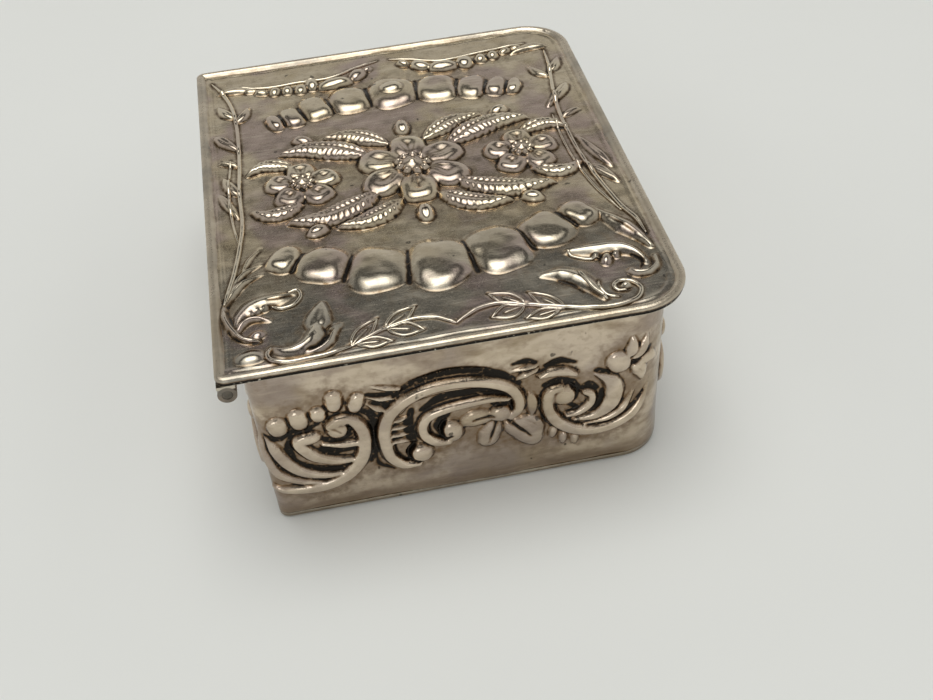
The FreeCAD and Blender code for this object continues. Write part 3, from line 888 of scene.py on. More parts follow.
@dataclass
class Lid:
    """The stamped lid plate: rolled rim, leafy border, two bands of lobes and a bunch of blossoms.

    Places on it are given from its hinge edge and its front edge.  lobe_shift, lobe_sway and lobe_stretch
    are how far a lobe strays in place, in degrees and in length.  crease_span is where the furrow between
    two lobes starts, turns and ends, as shares of the shorter one.  The sizes of petals and of a rose's
    parts are shares of its half width, and petal_veins has the veins' degrees from the middle of a petal.
    stem_foot is the width, depth and darkness of the furrow under a stem.  rim_oxide_and_shade is the
    darkness beside the rim, oxide at its inner foot, and under it, painted shade for the shadow line under
    the rim.  oxide_gains and polish_gains go to the panel's methods of those names, and dents has the scale,
    depth, seed and extra depth on raised forms of each layer of dents.
    """

    sheet: float = 0.25
    hinge_corner: float = 0.9
    open_corner: float = 4.8
    rim_width: float = 0.95
    rim_height: float = 0.24
    rim_overlap: float = 0.34
    rim_sink: float = 0.05
    rim_spill: float = 0.15
    rim_chamfer: float = 0.06
    rim_foot: float = 0.04
    rim_step: float = 0.5
    rim_rub: float = 0.45
    rim_oxide_and_shade: Point = (0.1, 0.8)
    rim_fullness: float = 0.8
    rim_points: int = 7
    line_inset: float = 1.3
    line_width: float = 0.36
    line_rise: float = 0.09
    line_points: int = 260
    panel_cell: float = 0.075
    mesh_cell: float = 0.092
    stem: float = 0.21
    stem_tip: float = 0.4
    stem_taper: float = 9.0
    stem_lift: float = 0.2
    stem_foot: Triple = (0.85, 0.03, 0.3)
    stem_sides: int = 10
    stem_samples: int = 16
    lobe_seed: int = 7
    lobe_shift: float = 0.22
    lobe_sway: float = 4.0
    lobe_stretch: float = 0.06
    lobe_overlap: float = 1.03
    lobe_power: float = 2.7
    lobe_power_sway: float = 0.5
    lobe_wobble: float = 0.034
    lobe_fall: float = 4.9
    crease_span: Triple = (-0.36, 0.0, 0.34)
    crease_width: Triple = (0.2, 0.42, 0.5)
    crease_depth: float = 0.05
    # The furrows between lobes are dark partly from oxide and partly as painted shade between the lobes.
    crease_oxide_and_shade: float = 0.48
    bunch_shift: float = 0.6
    rose_gap: float = 10.6
    petal_ring: float = 0.62
    petal_length: float = 0.80
    petal_overlap: float = 1.04
    petal_rise: float = 0.74
    petal_veins: Triple = (-13.0, 0.0, 13.0)
    vein_span: Point = (0.36, 0.78)
    vein_gather: float = 0.6
    rose_heart: float = 0.68
    rose_bead: float = 0.17
    rose_bead_ring: float = 0.25
    rose_beads: int = 9
    rose_button: float = 0.3
    sprig_middle: float = 20.1
    oxide_gains: Point = (19.0, 0.8)
    polish_gains: Point = (1.2, 1.8)
    softness: float = 0.07
    dents: tuple[tuple[float, float, int, float], ...] = (
        (1.6, 0.022, 3, 0.0), (0.8, 0.014, 9, 1.2), (0.4, 0.009, 4, 0.8))
    low: Vector = field(init=False)
    high: Vector = field(init=False)
    panel: Panel = field(init=False)

    def __post_init__(self) -> None:
        """Takes the lid's place from the frame."""
        low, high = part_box("lid_plate")
        self.low, self.high = low / MM, high / MM
        self.panel = Panel.sized(0.0, self.width, 0.0, self.length, self.panel_cell)

    @property
    def width(self) -> float:
        """From the hinge edge to the opening edge."""
        return self.high.x - self.low.x

    @property
    def length(self) -> float:
        """Along the hinge."""
        return self.high.y - self.low.y

    @property
    def ground(self) -> float:
        """Height of the flat field."""
        return self.low.z + self.sheet

    @property
    def edge(self) -> Ring:
        """The lid's outline, on its own axes."""
        return Ring(0.0, self.width, 0.0, self.length, self.hinge_corner, self.open_corner)

    def lobe_bands(self) -> None:
        """Two arcs of lobes that bulge towards the ends, largest in the middle, no two alike.

        A band's row has the end that it faces, its distance from that end, its radius, the lobes' lengths
        and widths from the middle outwards, and their rise.  The far band's middle lobe carries a boss.
        """
        bands = (
            (1, 10.0, 34.0, (5.8, 5.4, 4.6, 3.8, 3.0), (5.0, 4.2, 3.0, 2.2, 1.6), 0.62),
            (-1, 10.6, 24.0, (7.0, 6.6, 5.2, 3.8), (5.5, 5.3, 4.6, 2.8), 0.64),
        )
        hand = np.random.default_rng(self.lobe_seed)
        middle = self.width / 2
        creases: list[tuple[float, float, int, float, float]] = []
        for side, edge, radius, lengths, widths, rise in bands:
            turn = 0.0
            for k, (length, wide) in enumerate(zip(lengths, widths)):
                if k:
                    between = turn + widths[k - 1] / 2 / radius
                    creases.append((between, min(length, lengths[k - 1]), side, edge, radius))
                    turn += (wide / 2 + widths[k - 1] / 2) / radius
                for mirror in ((1, -1) if k else (1,)):
                    reach = self.length / 2 - edge - radius + radius * math.cos(turn)
                    wobble = hand.uniform(-1.0, 1.0, 4)
                    x = middle + mirror * radius * math.sin(turn)
                    y = self.length / 2 + side * (reach + self.lobe_shift * wobble[0])
                    lean = (90 - mirror * math.degrees(turn)) * side + self.lobe_sway * wobble[1]
                    long = length * (1 + self.lobe_stretch * wobble[2])
                    power = self.lobe_power + self.lobe_power_sway * wobble[3]
                    self.panel.pad(Pad(x, y, long, wide * self.lobe_overlap, rise, lean, power,
                                       crown=1.0, wobble=self.lobe_wobble, fall=self.lobe_fall))
        # Dark furrows between neighbouring lobes: oxide, and painted shade between them.
        for turn, length, side, edge, radius in creases:
            hub = self.length / 2 + side * (self.length / 2 - edge - radius)
            reach = radius + length * np.array(self.crease_span)
            for mirror in (1, -1):
                x = middle + mirror * reach * math.sin(turn)
                line = np.stack([x, hub + side * reach * math.cos(turn)], -1)
                self.panel.groove(Groove(line, self.crease_width, self.crease_depth, self.crease_oxide_and_shade))
        boss = Pad(middle, self.length - 9.7, 2.4, 2.2, 0.42, 0.0, 2.0, 0.6)
        self.panel.pad(boss, Lay.ON_TOP)

    def blossom(self, x: float, y: float, size: float, rise: float, petals: int) -> None:
        """A wild rose: a ring of cupped, veined petals round a heart ringed with beads.

        Args:
            x: Its middle, across.
            y: Its middle, along.
            size: Half its width.
            rise: Height of its heart.
            petals: Petals in the ring.
        """
        def spot(share: float, angle: float) -> Point:
            """A place on the flower, by its share of the way out and its angle in degrees."""
            a = math.radians(angle)
            return x + share * size * math.cos(a), y + share * size * math.sin(a)

        wide = 2 * math.pi * self.petal_ring * size / petals * self.petal_overlap
        turns = [360 * k / petals + 90 for k in range(petals)]
        for angle in turns:
            self.panel.pad(Pad(*spot(self.petal_ring, angle), self.petal_length * size, wide,
                               rise * self.petal_rise, angle, 2.5, 0.42, 0.42, 0.02))
        for angle in turns:
            for fan in self.petal_veins:
                root, tip = self.vein_span
                vein = (spot(root, angle + self.vein_gather * fan), spot(tip, angle + fan))
                self.panel.groove(Groove(vein, (0.2, 0.07), 0.07, 0.3))
        beads = [spot(self.rose_bead_ring, 360.0 / self.rose_beads * k) for k in range(self.rose_beads)]
        rounds = [((x, y), self.rose_heart, 0.8), *((bead, self.rose_bead, 0.95) for bead in beads),
                  ((x, y), self.rose_button, 1.0)]
        for middle, share, lift in rounds:
            wide = share * size
            self.panel.pad(Pad(*middle, wide, wide, rise * lift, 0.0, 2.0, 0.5))

    def bunch(self) -> None:
        """A large wild rose between two smaller ones, with feathery leaves and buds between them."""
        x, y = self.width / 2, self.length / 2 + self.bunch_shift
        for way_x in (-1, 1):
            for way_y in (-1, 1):
                def spot(out: float, along: float) -> Point:
                    """A place measured out from the rose."""
                    return x + way_x * out, y + way_y * along
                self.panel.stamp([
                    Leaf((spot(1.6, 4.6), spot(3.6, 6.3), spot(5.6, 7.3), spot(8.2, 7.6)),
                         2.6, 0.72, lobes=8, notch=0.1, veins=13),
                    Leaf((spot(3.6, 3.0), spot(6.4, 4.9), spot(9.2, 5.9), spot(12.6, 5.8)),
                         3.2, 0.85, lobes=9, notch=0.1, veins=16),
                    Leaf((spot(10.8, 3.0), spot(12.6, 4.0), spot(14.2, 4.1), spot(15.8, 3.0)),
                         2.0, 0.7, lobes=6, notch=0.1, veins=9),
                    Pad(*spot(9.9, 7.7), 2.2, 1.5, 0.7, 25.0 * way_x * way_y, 2.0, 0.5),
                    Groove((spot(9.2, 7.4), spot(10.7, 8.0)), (0.1, 0.2), 0.1, 0.4),
                    Pad(*spot(0.0, 7.4), 1.6, 2.6, 0.75, 0.0, 2.0, 0.5),
                    Groove((spot(0.0, 6.4), spot(0.0, 8.4)), (0.2, 0.1), 0.1, 0.4),
                ])
        self.blossom(x - self.rose_gap, y, 3.6, 1.0, 5)
        self.blossom(x + self.rose_gap, y, 3.6, 1.0, 5)
        self.blossom(x, y, 5.5, 1.2, 6)

    def hinge_corner_leaves(self) -> list[Form]:
        """Two acanthus leaves and a spear of grass in the front corner by the hinge."""
        return [
            Ridge(((1.25, 9.6), (1.15, 8.2), (1.45, 6.8), (2.05, 5.4), (2.9, 4.45), (3.9, 4.3)),
                  (0.5, 0.75, 0.75, 0.65, 0.55, 0.3), (0.35, 0.5, 0.5, 0.45, 0.4, 0.25)),
            Pad(3.75, 5.0, 1.3, 1.1, 0.36, 20.0, 2.0, 0.7),
            Ridge(((2.0, 6.1), (2.5, 7.5), (3.4, 8.6), (4.6, 9.15), (6.0, 9.4), (7.2, 9.8)),
                  (0.5, 1.5, 2.2, 2.1, 1.6, 0.6), (0.25, 0.45, 0.58, 0.52, 0.36, 0.14)),
            Ridge(((2.2, 5.8), (2.6, 6.5), (3.2, 7.0), (4.0, 7.05), (4.9, 6.65)),
                  (0.4, 0.65, 0.75, 0.65, 0.3), (0.3, 0.5, 0.55, 0.5, 0.2)),
            *(Pad(x, y, 0.8, 0.62, 0.42, 40.0, 2.0, 0.6)
              for x, y in ((3.35, 7.75), (3.95, 8.05), (4.55, 8.25))),
            Groove(((4.9, 9.0), (6.0, 9.15), (7.0, 9.5)), (0.15, 0.35, 0.2), 0.12, 0.5),
            Ridge(((1.3, 9.4), (1.9, 10.8), (3.0, 12.2), (4.7, 13.2)), (0.4, 0.9, 0.75, 0.2),
                  (0.35, 0.45, 0.4, 0.2)),
            Ridge(((1.7, 10.8), (2.5, 12.6), (3.4, 13.8), (4.7, 14.6)), (0.4, 0.6, 0.5, 0.2),
                  (0.3, 0.4, 0.35, 0.2)),
            Ridge(((2.9, 13.4), (3.6, 15.2), (4.8, 16.9)), (0.3, 0.55, 0.2), (0.25, 0.35, 0.2)),
            Ridge(((4.9, 3.0), (5.7, 2.4), (6.9, 2.3), (7.9, 3.0), (8.5, 4.2), (8.9, 5.3)),
                  (0.5, 1.2, 1.7, 1.9, 1.7, 1.2), (0.3, 0.5, 0.68, 0.75, 0.65, 0.4)),
            Leaf(((8.3, 4.0), (8.9, 5.8), (9.5, 8.0)), 2.2, 0.55, groove=0.12),
            Ridge(((7.2, 1.75), (8.6, 1.95), (9.5, 2.65), (9.95, 3.6), (10.6, 4.7)),
                  (0.3, 0.65, 0.75, 0.65, 0.3), (0.2, 0.45, 0.5, 0.45, 0.2)),
            Pad(10.2, 4.4, 1.1, 0.7, 0.25, 20.0, 2.0, 0.8),
            Groove(((9.1, 4.6), (9.3, 3.6), (8.7, 2.7), (7.6, 2.0)), (0.2, 0.3, 0.3, 0.2), 0.1, 0.35),
            Pad(3.0, 2.35, 2.5, 1.8, 0.42, 8.0, 2.2, 0.9),
        ]

    def opening_corner_leaves(self) -> list[Form]:
        """Three acanthus leaves and a volute in the front corner by the opening edge."""
        return [
            Ridge(((32.5, 2.3), (31.8, 4.1), (30.9, 5.5), (29.7, 6.4), (28.1, 6.6)),
                  (0.5, 1.5, 2.3, 1.9, 0.5), (0.28, 0.48, 0.62, 0.54, 0.2)),
            Groove(((31.1, 3.4), (30.3, 4.7), (29.3, 5.6)), (0.2, 0.3, 0.2), 0.14, 0.5),
            Ridge(((37.2, 6.1), (36.6, 7.6), (35.3, 8.6), (33.4, 9.0), (31.1, 9.2)),
                  (0.5, 1.2, 2.0, 1.9, 0.9), (0.35, 0.5, 0.62, 0.56, 0.3)),
            Pad(34.0, 7.3, 1.7, 1.0, 0.5, 70.0, 2.0, 0.6),
            Ridge(((38.1, 6.7), (37.9, 5.5), (37.0, 4.7), (36.0, 4.75), (35.6, 5.2)),
                  (0.5, 0.65, 0.75, 0.85, 0.8), (0.4, 0.5, 0.5, 0.55, 0.5)),
            *(Pad(x, y, 0.8, 0.6, 0.42, 70.0, 2.0, 0.6) for x, y in ((34.9, 7.7), (33.2, 8.0))),
            Groove(((36.2, 7.3), (36.9, 6.4), (36.6, 5.6)), (0.2, 0.35, 0.2), 0.16, 0.8),
            Ridge(((38.2, 8.1), (37.6, 9.8), (36.8, 11.4), (35.9, 12.9), (34.7, 14.9)),
                  (0.5, 1.4, 2.2, 1.7, 0.4), (0.35, 0.52, 0.62, 0.48, 0.2)),
            Groove(((37.3, 9.9), (36.5, 11.5), (35.6, 13.0)), (0.15, 0.3, 0.15), 0.14, 0.4),
            Pad(34.6, 3.4, 1.0, 0.8, 0.42, 30.0, 2.0, 0.6),
        ]

    def border(self) -> None:
        """Corner leaves, the thin line inside the rim, side leaves and two swags along the far edge."""
        self.panel.stamp(self.hinge_corner_leaves() + self.opening_corner_leaves())
        edge = self.edge
        spot, out = edge.at(np.linspace(0.0, edge.starts[-1], self.line_points))
        self.panel.ridge(Ridge(spot - self.line_inset * out, self.line_width, self.line_rise))
        self.panel.stamp([
            Leaf(((1.4, 36.6), (2.5, 35.1), (3.9, 33.1)), 1.3, 0.5, groove=0.3),
            Leaf(((37.9, 36.9), (36.7, 35.2), (34.8, 32.8)), 1.3, 0.5, groove=0.3),
            Leaf(((1.5, 26.4), (2.3, 24.2), (3.2, 21.8)), 1.0, 0.35),
            Leaf(((38.3, 20.8), (37.3, 24.0), (36.3, 27.0)), 1.1, 0.4),
            Leaf(((3.6, 39.5), (2.7, 40.8), (1.9, 42.4)), 1.2, 0.42, groove=0.3),
            Leaf(((3.7, 38.6), (4.6, 39.8), (5.2, 41.4)), 1.1, 0.38, groove=0.3),
            Leaf(((3.6, 30.5), (2.6, 31.4), (1.6, 31.6)), 0.9, 0.36, groove=0.2),
            Leaf(((3.4, 25.5), (2.6, 27.2), (1.9, 29.2)), 1.2, 0.42, groove=0.3),
            Leaf(((36.6, 39.5), (37.5, 40.8), (38.2, 42.4)), 1.2, 0.42, groove=0.3),
            Leaf(((36.4, 38.6), (35.4, 39.8), (34.7, 41.4)), 1.1, 0.38, groove=0.3),
            Leaf(((35.8, 30.5), (37.0, 31.4), (38.0, 31.6)), 0.9, 0.36, groove=0.2),
            Leaf(((36.0, 22.0), (37.2, 20.4), (38.2, 18.2)), 1.2, 0.42, groove=0.3),
            Leaf(((2.0, 45.0), (4.4, 45.2), (6.6, 44.3)), 1.2, 0.4, groove=0.3),
            Leaf(((37.6, 45.0), (35.6, 45.2), (33.4, 44.3)), 1.2, 0.4, groove=0.3),
        ])
        swags = ((5.4, 44.6, 1.3, 0.8, -25, 0.35), (6.7, 44.0, 1.5, 1.0, -20, 0.4),
                 (8.1, 43.8, 1.6, 1.2, 75, 0.5), (9.4, 43.7, 1.6, 1.2, 80, 0.5),
                 (10.8, 43.5, 1.7, 1.4, 85, 0.55), (12.0, 44.0, 2.2, 1.4, 95, 0.65),
                 (14.4, 43.5, 3.8, 1.9, 8, 0.7), (16.9, 44.6, 2.3, 1.7, 50, 0.65),
                 (18.1, 45.6, 1.2, 0.9, 40, 0.4), (22.0, 45.6, 1.6, 1.1, -40, 0.5),
                 (23.7, 44.6, 2.5, 1.7, -45, 0.65), (26.0, 43.7, 3.2, 1.9, -4, 0.7),
                 (28.4, 43.9, 2.2, 1.9, 80, 0.7), (30.2, 44.3, 1.7, 1.3, 80, 0.5),
                 (31.6, 44.6, 1.5, 1.2, 80, 0.5), (33.0, 45.1, 1.5, 1.0, 30, 0.4),
                 (34.3, 45.5, 1.3, 0.8, 25, 0.35))
        for x, y, long, wide, turn, rise in swags:
            self.panel.pad(Pad(x, y, long, wide, rise, turn, 2.2, 0.5, wobble=0.03))

    def stems(self) -> list[tuple[Curve, float]]:
        """The raised lines: frame lines, border scrolls, and the two front sprigs with outlined leaves.

        Returns:
            Each line's points and its thickness as a share of the stem's.
        """
        lines: list[tuple[Curve, float]] = [
            (((1.6, 47.4), (2.6, 45.0), (3.4, 42.0), (3.75, 38.0), (3.7, 32.0), (3.4, 26.0),
              (3.4, 21.0), (3.0, 17.6), (2.3, 13.8), (1.7, 11.3), (1.25, 9.4)), 1.1),
            (((1.2, 8.6), (1.3, 7.2), (1.9, 5.6), (2.7, 4.5), (3.9, 4.15)), 0.8),
            (((5.2, 8.4), (6.0, 8.0), (7.0, 8.2), (7.7, 9.2), (7.5, 10.1), (6.7, 9.95)), 0.9),
            (((4.75, 3.1), (4.4, 2.4), (4.75, 1.6), (5.9, 1.12), (7.5, 1.08), (9.3, 1.25), (11.2, 1.8)),
             1.1),
            (((11.0, 1.75), (12.6, 2.5), (14.4, 3.35), (16.4, 3.85), (18.3, 3.6), (19.4, 2.9),
              (20.0, 2.45)), 0.85),
            (((20.0, 2.45), (20.8, 3.0), (22.2, 3.75), (24.0, 3.95), (26.0, 3.25), (28.0, 2.5),
              (30.4, 1.55), (32.2, 1.2), (34.0, 1.25), (35.2, 1.75), (35.75, 2.8), (35.3, 3.8),
              (34.4, 4.2), (33.7, 3.8), (33.8, 3.1), (34.5, 2.9)), 1.05),
            (((32.6, 4.7), (32.4, 3.7), (32.8, 2.7), (33.7, 2.2)), 0.7),
            (((31.1, 5.9), (31.45, 4.8), (31.9, 3.4), (32.7, 2.1)), 0.9),
            (((31.0, 9.3), (31.3, 8.5), (32.4, 7.85), (33.5, 7.7)), 0.7),
            (((38.35, 10.2), (38.1, 12.4), (37.3, 14.8), (36.6, 18.5), (36.0, 23.0), (35.7, 28.0),
              (35.8, 32.5), (36.3, 37.0), (36.9, 41.0), (37.1, 44.2)), 1.1),
            (((37.2, 14.0), (36.0, 17.6), (35.2, 22.0), (34.9, 27.0), (35.0, 31.5)), 0.7),
            (((2.9, 18.0), (2.5, 22.0), (2.45, 27.0), (2.9, 32.0)), 0.7),
            (((4.6, 45.6), (7.5, 45.0), (10.5, 45.1), (14.0, 45.1), (17.0, 46.4), (19.4, 47.2)), 0.8),
            (((35.4, 46.3), (32.5, 46.0), (29.5, 45.6), (26.0, 45.2), (23.0, 46.4), (20.6, 47.2)), 0.8),
        ]
        sprig = (((11.2, 1.9), (13.7, 4.7), 0.62), ((14.2, 3.35), (17.0, 5.4), 0.62),
                 ((14.3, 3.2), (17.3, 2.35), 0.78), ((11.6, 1.9), (14.6, 1.5), 0.6))
        across = 2 * self.sprig_middle
        for stalk, tip, plump in sprig:
            lines.extend(self.leaf_outline(stalk, tip, plump))
            lines.extend(self.leaf_outline((across - stalk[0], stalk[1]), (across - tip[0], tip[1]), plump))
        return lines

    @staticmethod
    def leaf_outline(stalk: Point, tip: Point, plump: float) -> list[tuple[Curve, float]]:
        """Two bowed sides and a midrib between a stalk and a tip; plump is the half width at the middle."""
        a, b = np.array(stalk), np.array(tip)
        run = b - a
        across = np.array([a[1] - b[1], b[0] - a[0]]) / np.linalg.norm(run) * plump
        sides = [(a, *(a + along * run + out * way * across for along, out in LEAF_BOW), b)
                 for way in (1, -1)]
        return [(side, SIDE_LINE) for side in sides] + [((a, a + RIB_REACH * run), RIB_LINE)]

    def wire(self, parts: MeshParts, points: Curve, share: float) -> None:
        """A half-sunk wire that follows the relief: a circle carried along the line, thinned at its ends.

        Args:
            parts: The piece's mesh.
            points: Places on the lid.
            share: Thickness as a share of the stem's.
        """
        sides = self.stem_sides
        path = smooth_curve(points, self.stem_samples)
        x, y = path.T
        s = np.linspace(0.0, 1.0, len(path))
        thick = np.clip(np.minimum(s, 1 - s) * self.stem_taper, 0, 1)
        radius = self.stem * share * (self.stem_tip + (1 - self.stem_tip) * thick)
        z = self.ground + self.panel.sample(self.panel.height, x, y) + self.stem_lift * radius
        ahead = np.gradient(path, axis=0)
        ahead /= np.linalg.norm(ahead, axis=1, keepdims=True)
        turn = np.linspace(0, 2 * np.pi, sides, endpoint=False)
        ring = np.stack([
            self.low.x + x[:, None] - ahead[:, 1:] * radius[:, None] * np.cos(turn),
            self.low.y + y[:, None] + ahead[:, :1] * radius[:, None] * np.cos(turn),
            z[:, None] + radius[:, None] * np.sin(turn),
        ], -1)
        n = len(path)
        caps = [np.arange(sides), (np.arange(sides) + (n - 1) * sides)[::-1]]
        rubbed = np.repeat(np.clip(np.sin(turn), 0, 1)[None, :], n, 0)
        parts.add(ring, quad_strip(n, sides, wrap_cols=True)[:, ::-1], caps, polish=rubbed)

    def field_piece(self, name: str, rows: slice, cols: slice, material: bpy.types.Material) -> None:
        """A quarter of the stamped field as a closed plate.

        Each row runs between the outline's two sides; heights, and the slopes that shade them, are read
        from the panel, so neighbouring quarters meet without a crease.

        Args:
            name: The piece's name.
            rows: Its rows of the whole grid.
            cols: Its columns of the whole grid.
            material: Its material.
        """
        inset = self.rim_overlap
        p = self.panel
        y = np.linspace(inset, self.length - inset, round(self.length / self.mesh_cell))[rows]
        share = np.linspace(0.0, 1.0, round(self.width / self.mesh_cell))[cols]
        left, right = self.edge.span(y, inset)
        x = left[:, None] + (right - left)[:, None] * share
        y = np.repeat(y[:, None], len(share), 1)
        slope_y, slope_x = np.gradient(p.height, p.ys, p.xs)
        normals = np.stack([-p.sample(slope_x, x, y), -p.sample(slope_y, x, y), np.ones_like(x)], -1)
        normals /= np.linalg.norm(normals, axis=-1, keepdims=True)
        top = np.stack([x + self.low.x, y + self.low.y, self.ground + p.sample(p.height, x, y)], -1)
        oxide, polish = p.oxide(*self.oxide_gains), p.polish(*self.polish_gains)
        parts = MeshParts()
        parts.add(top, quad_strip(*x.shape), oxide=p.sample(oxide, x, y), polish=p.sample(polish, x, y),
                  normals=normals)
        rim = np.concatenate([top[0, :-1], top[:-1, -1], top[-1, :0:-1], top[:0:-1, 0]])
        foot = np.where([True, True, False], rim, self.low.z)
        away = (rim - rim.mean(0)) * np.array([1.0, 1.0, 0.0])
        away /= np.linalg.norm(away, axis=1, keepdims=True)
        parts.add(np.stack([foot, rim]), quad_strip(2, len(rim), wrap_cols=True),
                  normals=np.stack([away, away]))
        parts.add(foot, np.zeros((0, 4), int), [np.arange(len(foot))[::-1]],
                  normals=np.array([0.0, 0.0, -1.0]))
        parts.piece(name, Body.LID, "lid_plate", Slot.STAMPED, material)

    def rim_mesh(self) -> MeshParts:
        """The rolled rim: half a bead and a raised cosine down to the field, carried round the outline."""
        w, h = self.rim_width, self.rim_height
        turn = np.linspace(np.pi, np.pi / 2, self.rim_points)
        bead_rise = h * np.sin(turn) ** self.rim_fullness
        bead = np.stack([w / 2 + w / 2 * np.cos(turn), self.sheet + bead_rise], -1)
        share = np.linspace(0.0, 1.0, self.rim_points + 2)[1:]
        fall = self.sheet - self.rim_sink + (h + self.rim_sink) * (1 + np.cos(np.pi * share)) / 2
        slope = np.stack([w / 2 + (w / 2 + self.rim_spill) * share, fall], -1)
        heel = [[self.rim_chamfer, 0.0], [0.0, self.rim_chamfer]]
        section = np.vstack([heel, bead, slope, [w - self.rim_foot, 0.0]])
        s = self.edge.samples(self.rim_step)
        spot, out = self.edge.at(s)
        ring = np.stack([
            self.low.x + spot[None, :, 0] - section[:, :1] * out[None, :, 0],
            self.low.y + spot[None, :, 1] - section[:, :1] * out[None, :, 1],
            self.low.z + np.repeat(section[:, 1:], len(s), 1),
        ], -1)
        rubbed = self.rim_rub * np.clip((section[:, 1] - self.sheet) / h, 0, 1)
        # The rim's inner foot is darkened as oxide, and its underside is painted dark as the shade under the
        # rim.
        within, beneath = section[:, 0] > w * 0.9, section[:, 1] < self.sheet * 0.9
        oxide_and_shade = np.where(within, self.rim_oxide_and_shade[0], np.where(beneath, self.rim_oxide_and_shade[1], 0.0))
        parts = MeshParts()
        parts.add(ring, quad_strip(len(section), len(s), True, True)[:, ::-1],
                  oxide=np.repeat(oxide_and_shade, len(s)), polish=np.repeat(rubbed, len(s)))
        return parts

    def build(self, finish: SilverFinish, rim_finish: SilverFinish) -> None:
        """Stamps the relief and writes the pieces of the lid plate.

        Args:
            finish: The lid's finish.
            rim_finish: The rolled rim's finish.
        """
        self.border()
        wide, depth, dark = self.stem_foot
        for points, share in self.stems():
            self.panel.groove(Groove(points, wide * share, depth, dark))
        self.lobe_bands()
        self.bunch()
        self.panel.height = self.panel.blurred(self.softness)
        for layer in self.dents:
            self.panel.uneven(*layer)
        material = finish.material()
        row = round(self.length / self.mesh_cell) // 2
        col = round(self.width / self.mesh_cell) // 2
        for end, rows in (("front", slice(0, row + 1)), ("rear", slice(row, None))):
            for side, cols in (("hinge", slice(0, col + 1)), ("opening", slice(col, None))):
                self.field_piece(f"lid_field_{end}_{side}", rows, cols, material)
        self.rim_mesh().piece("lid_rim", Body.LID, "lid_plate", Slot.STAMPED, rim_finish.material())
        stems = MeshParts()
        for points, share in self.stems():
            self.wire(stems, points, share)
        stems.piece("lid_stems", Body.LID, "lid_plate", Slot.STAMPED, material)


# The walls


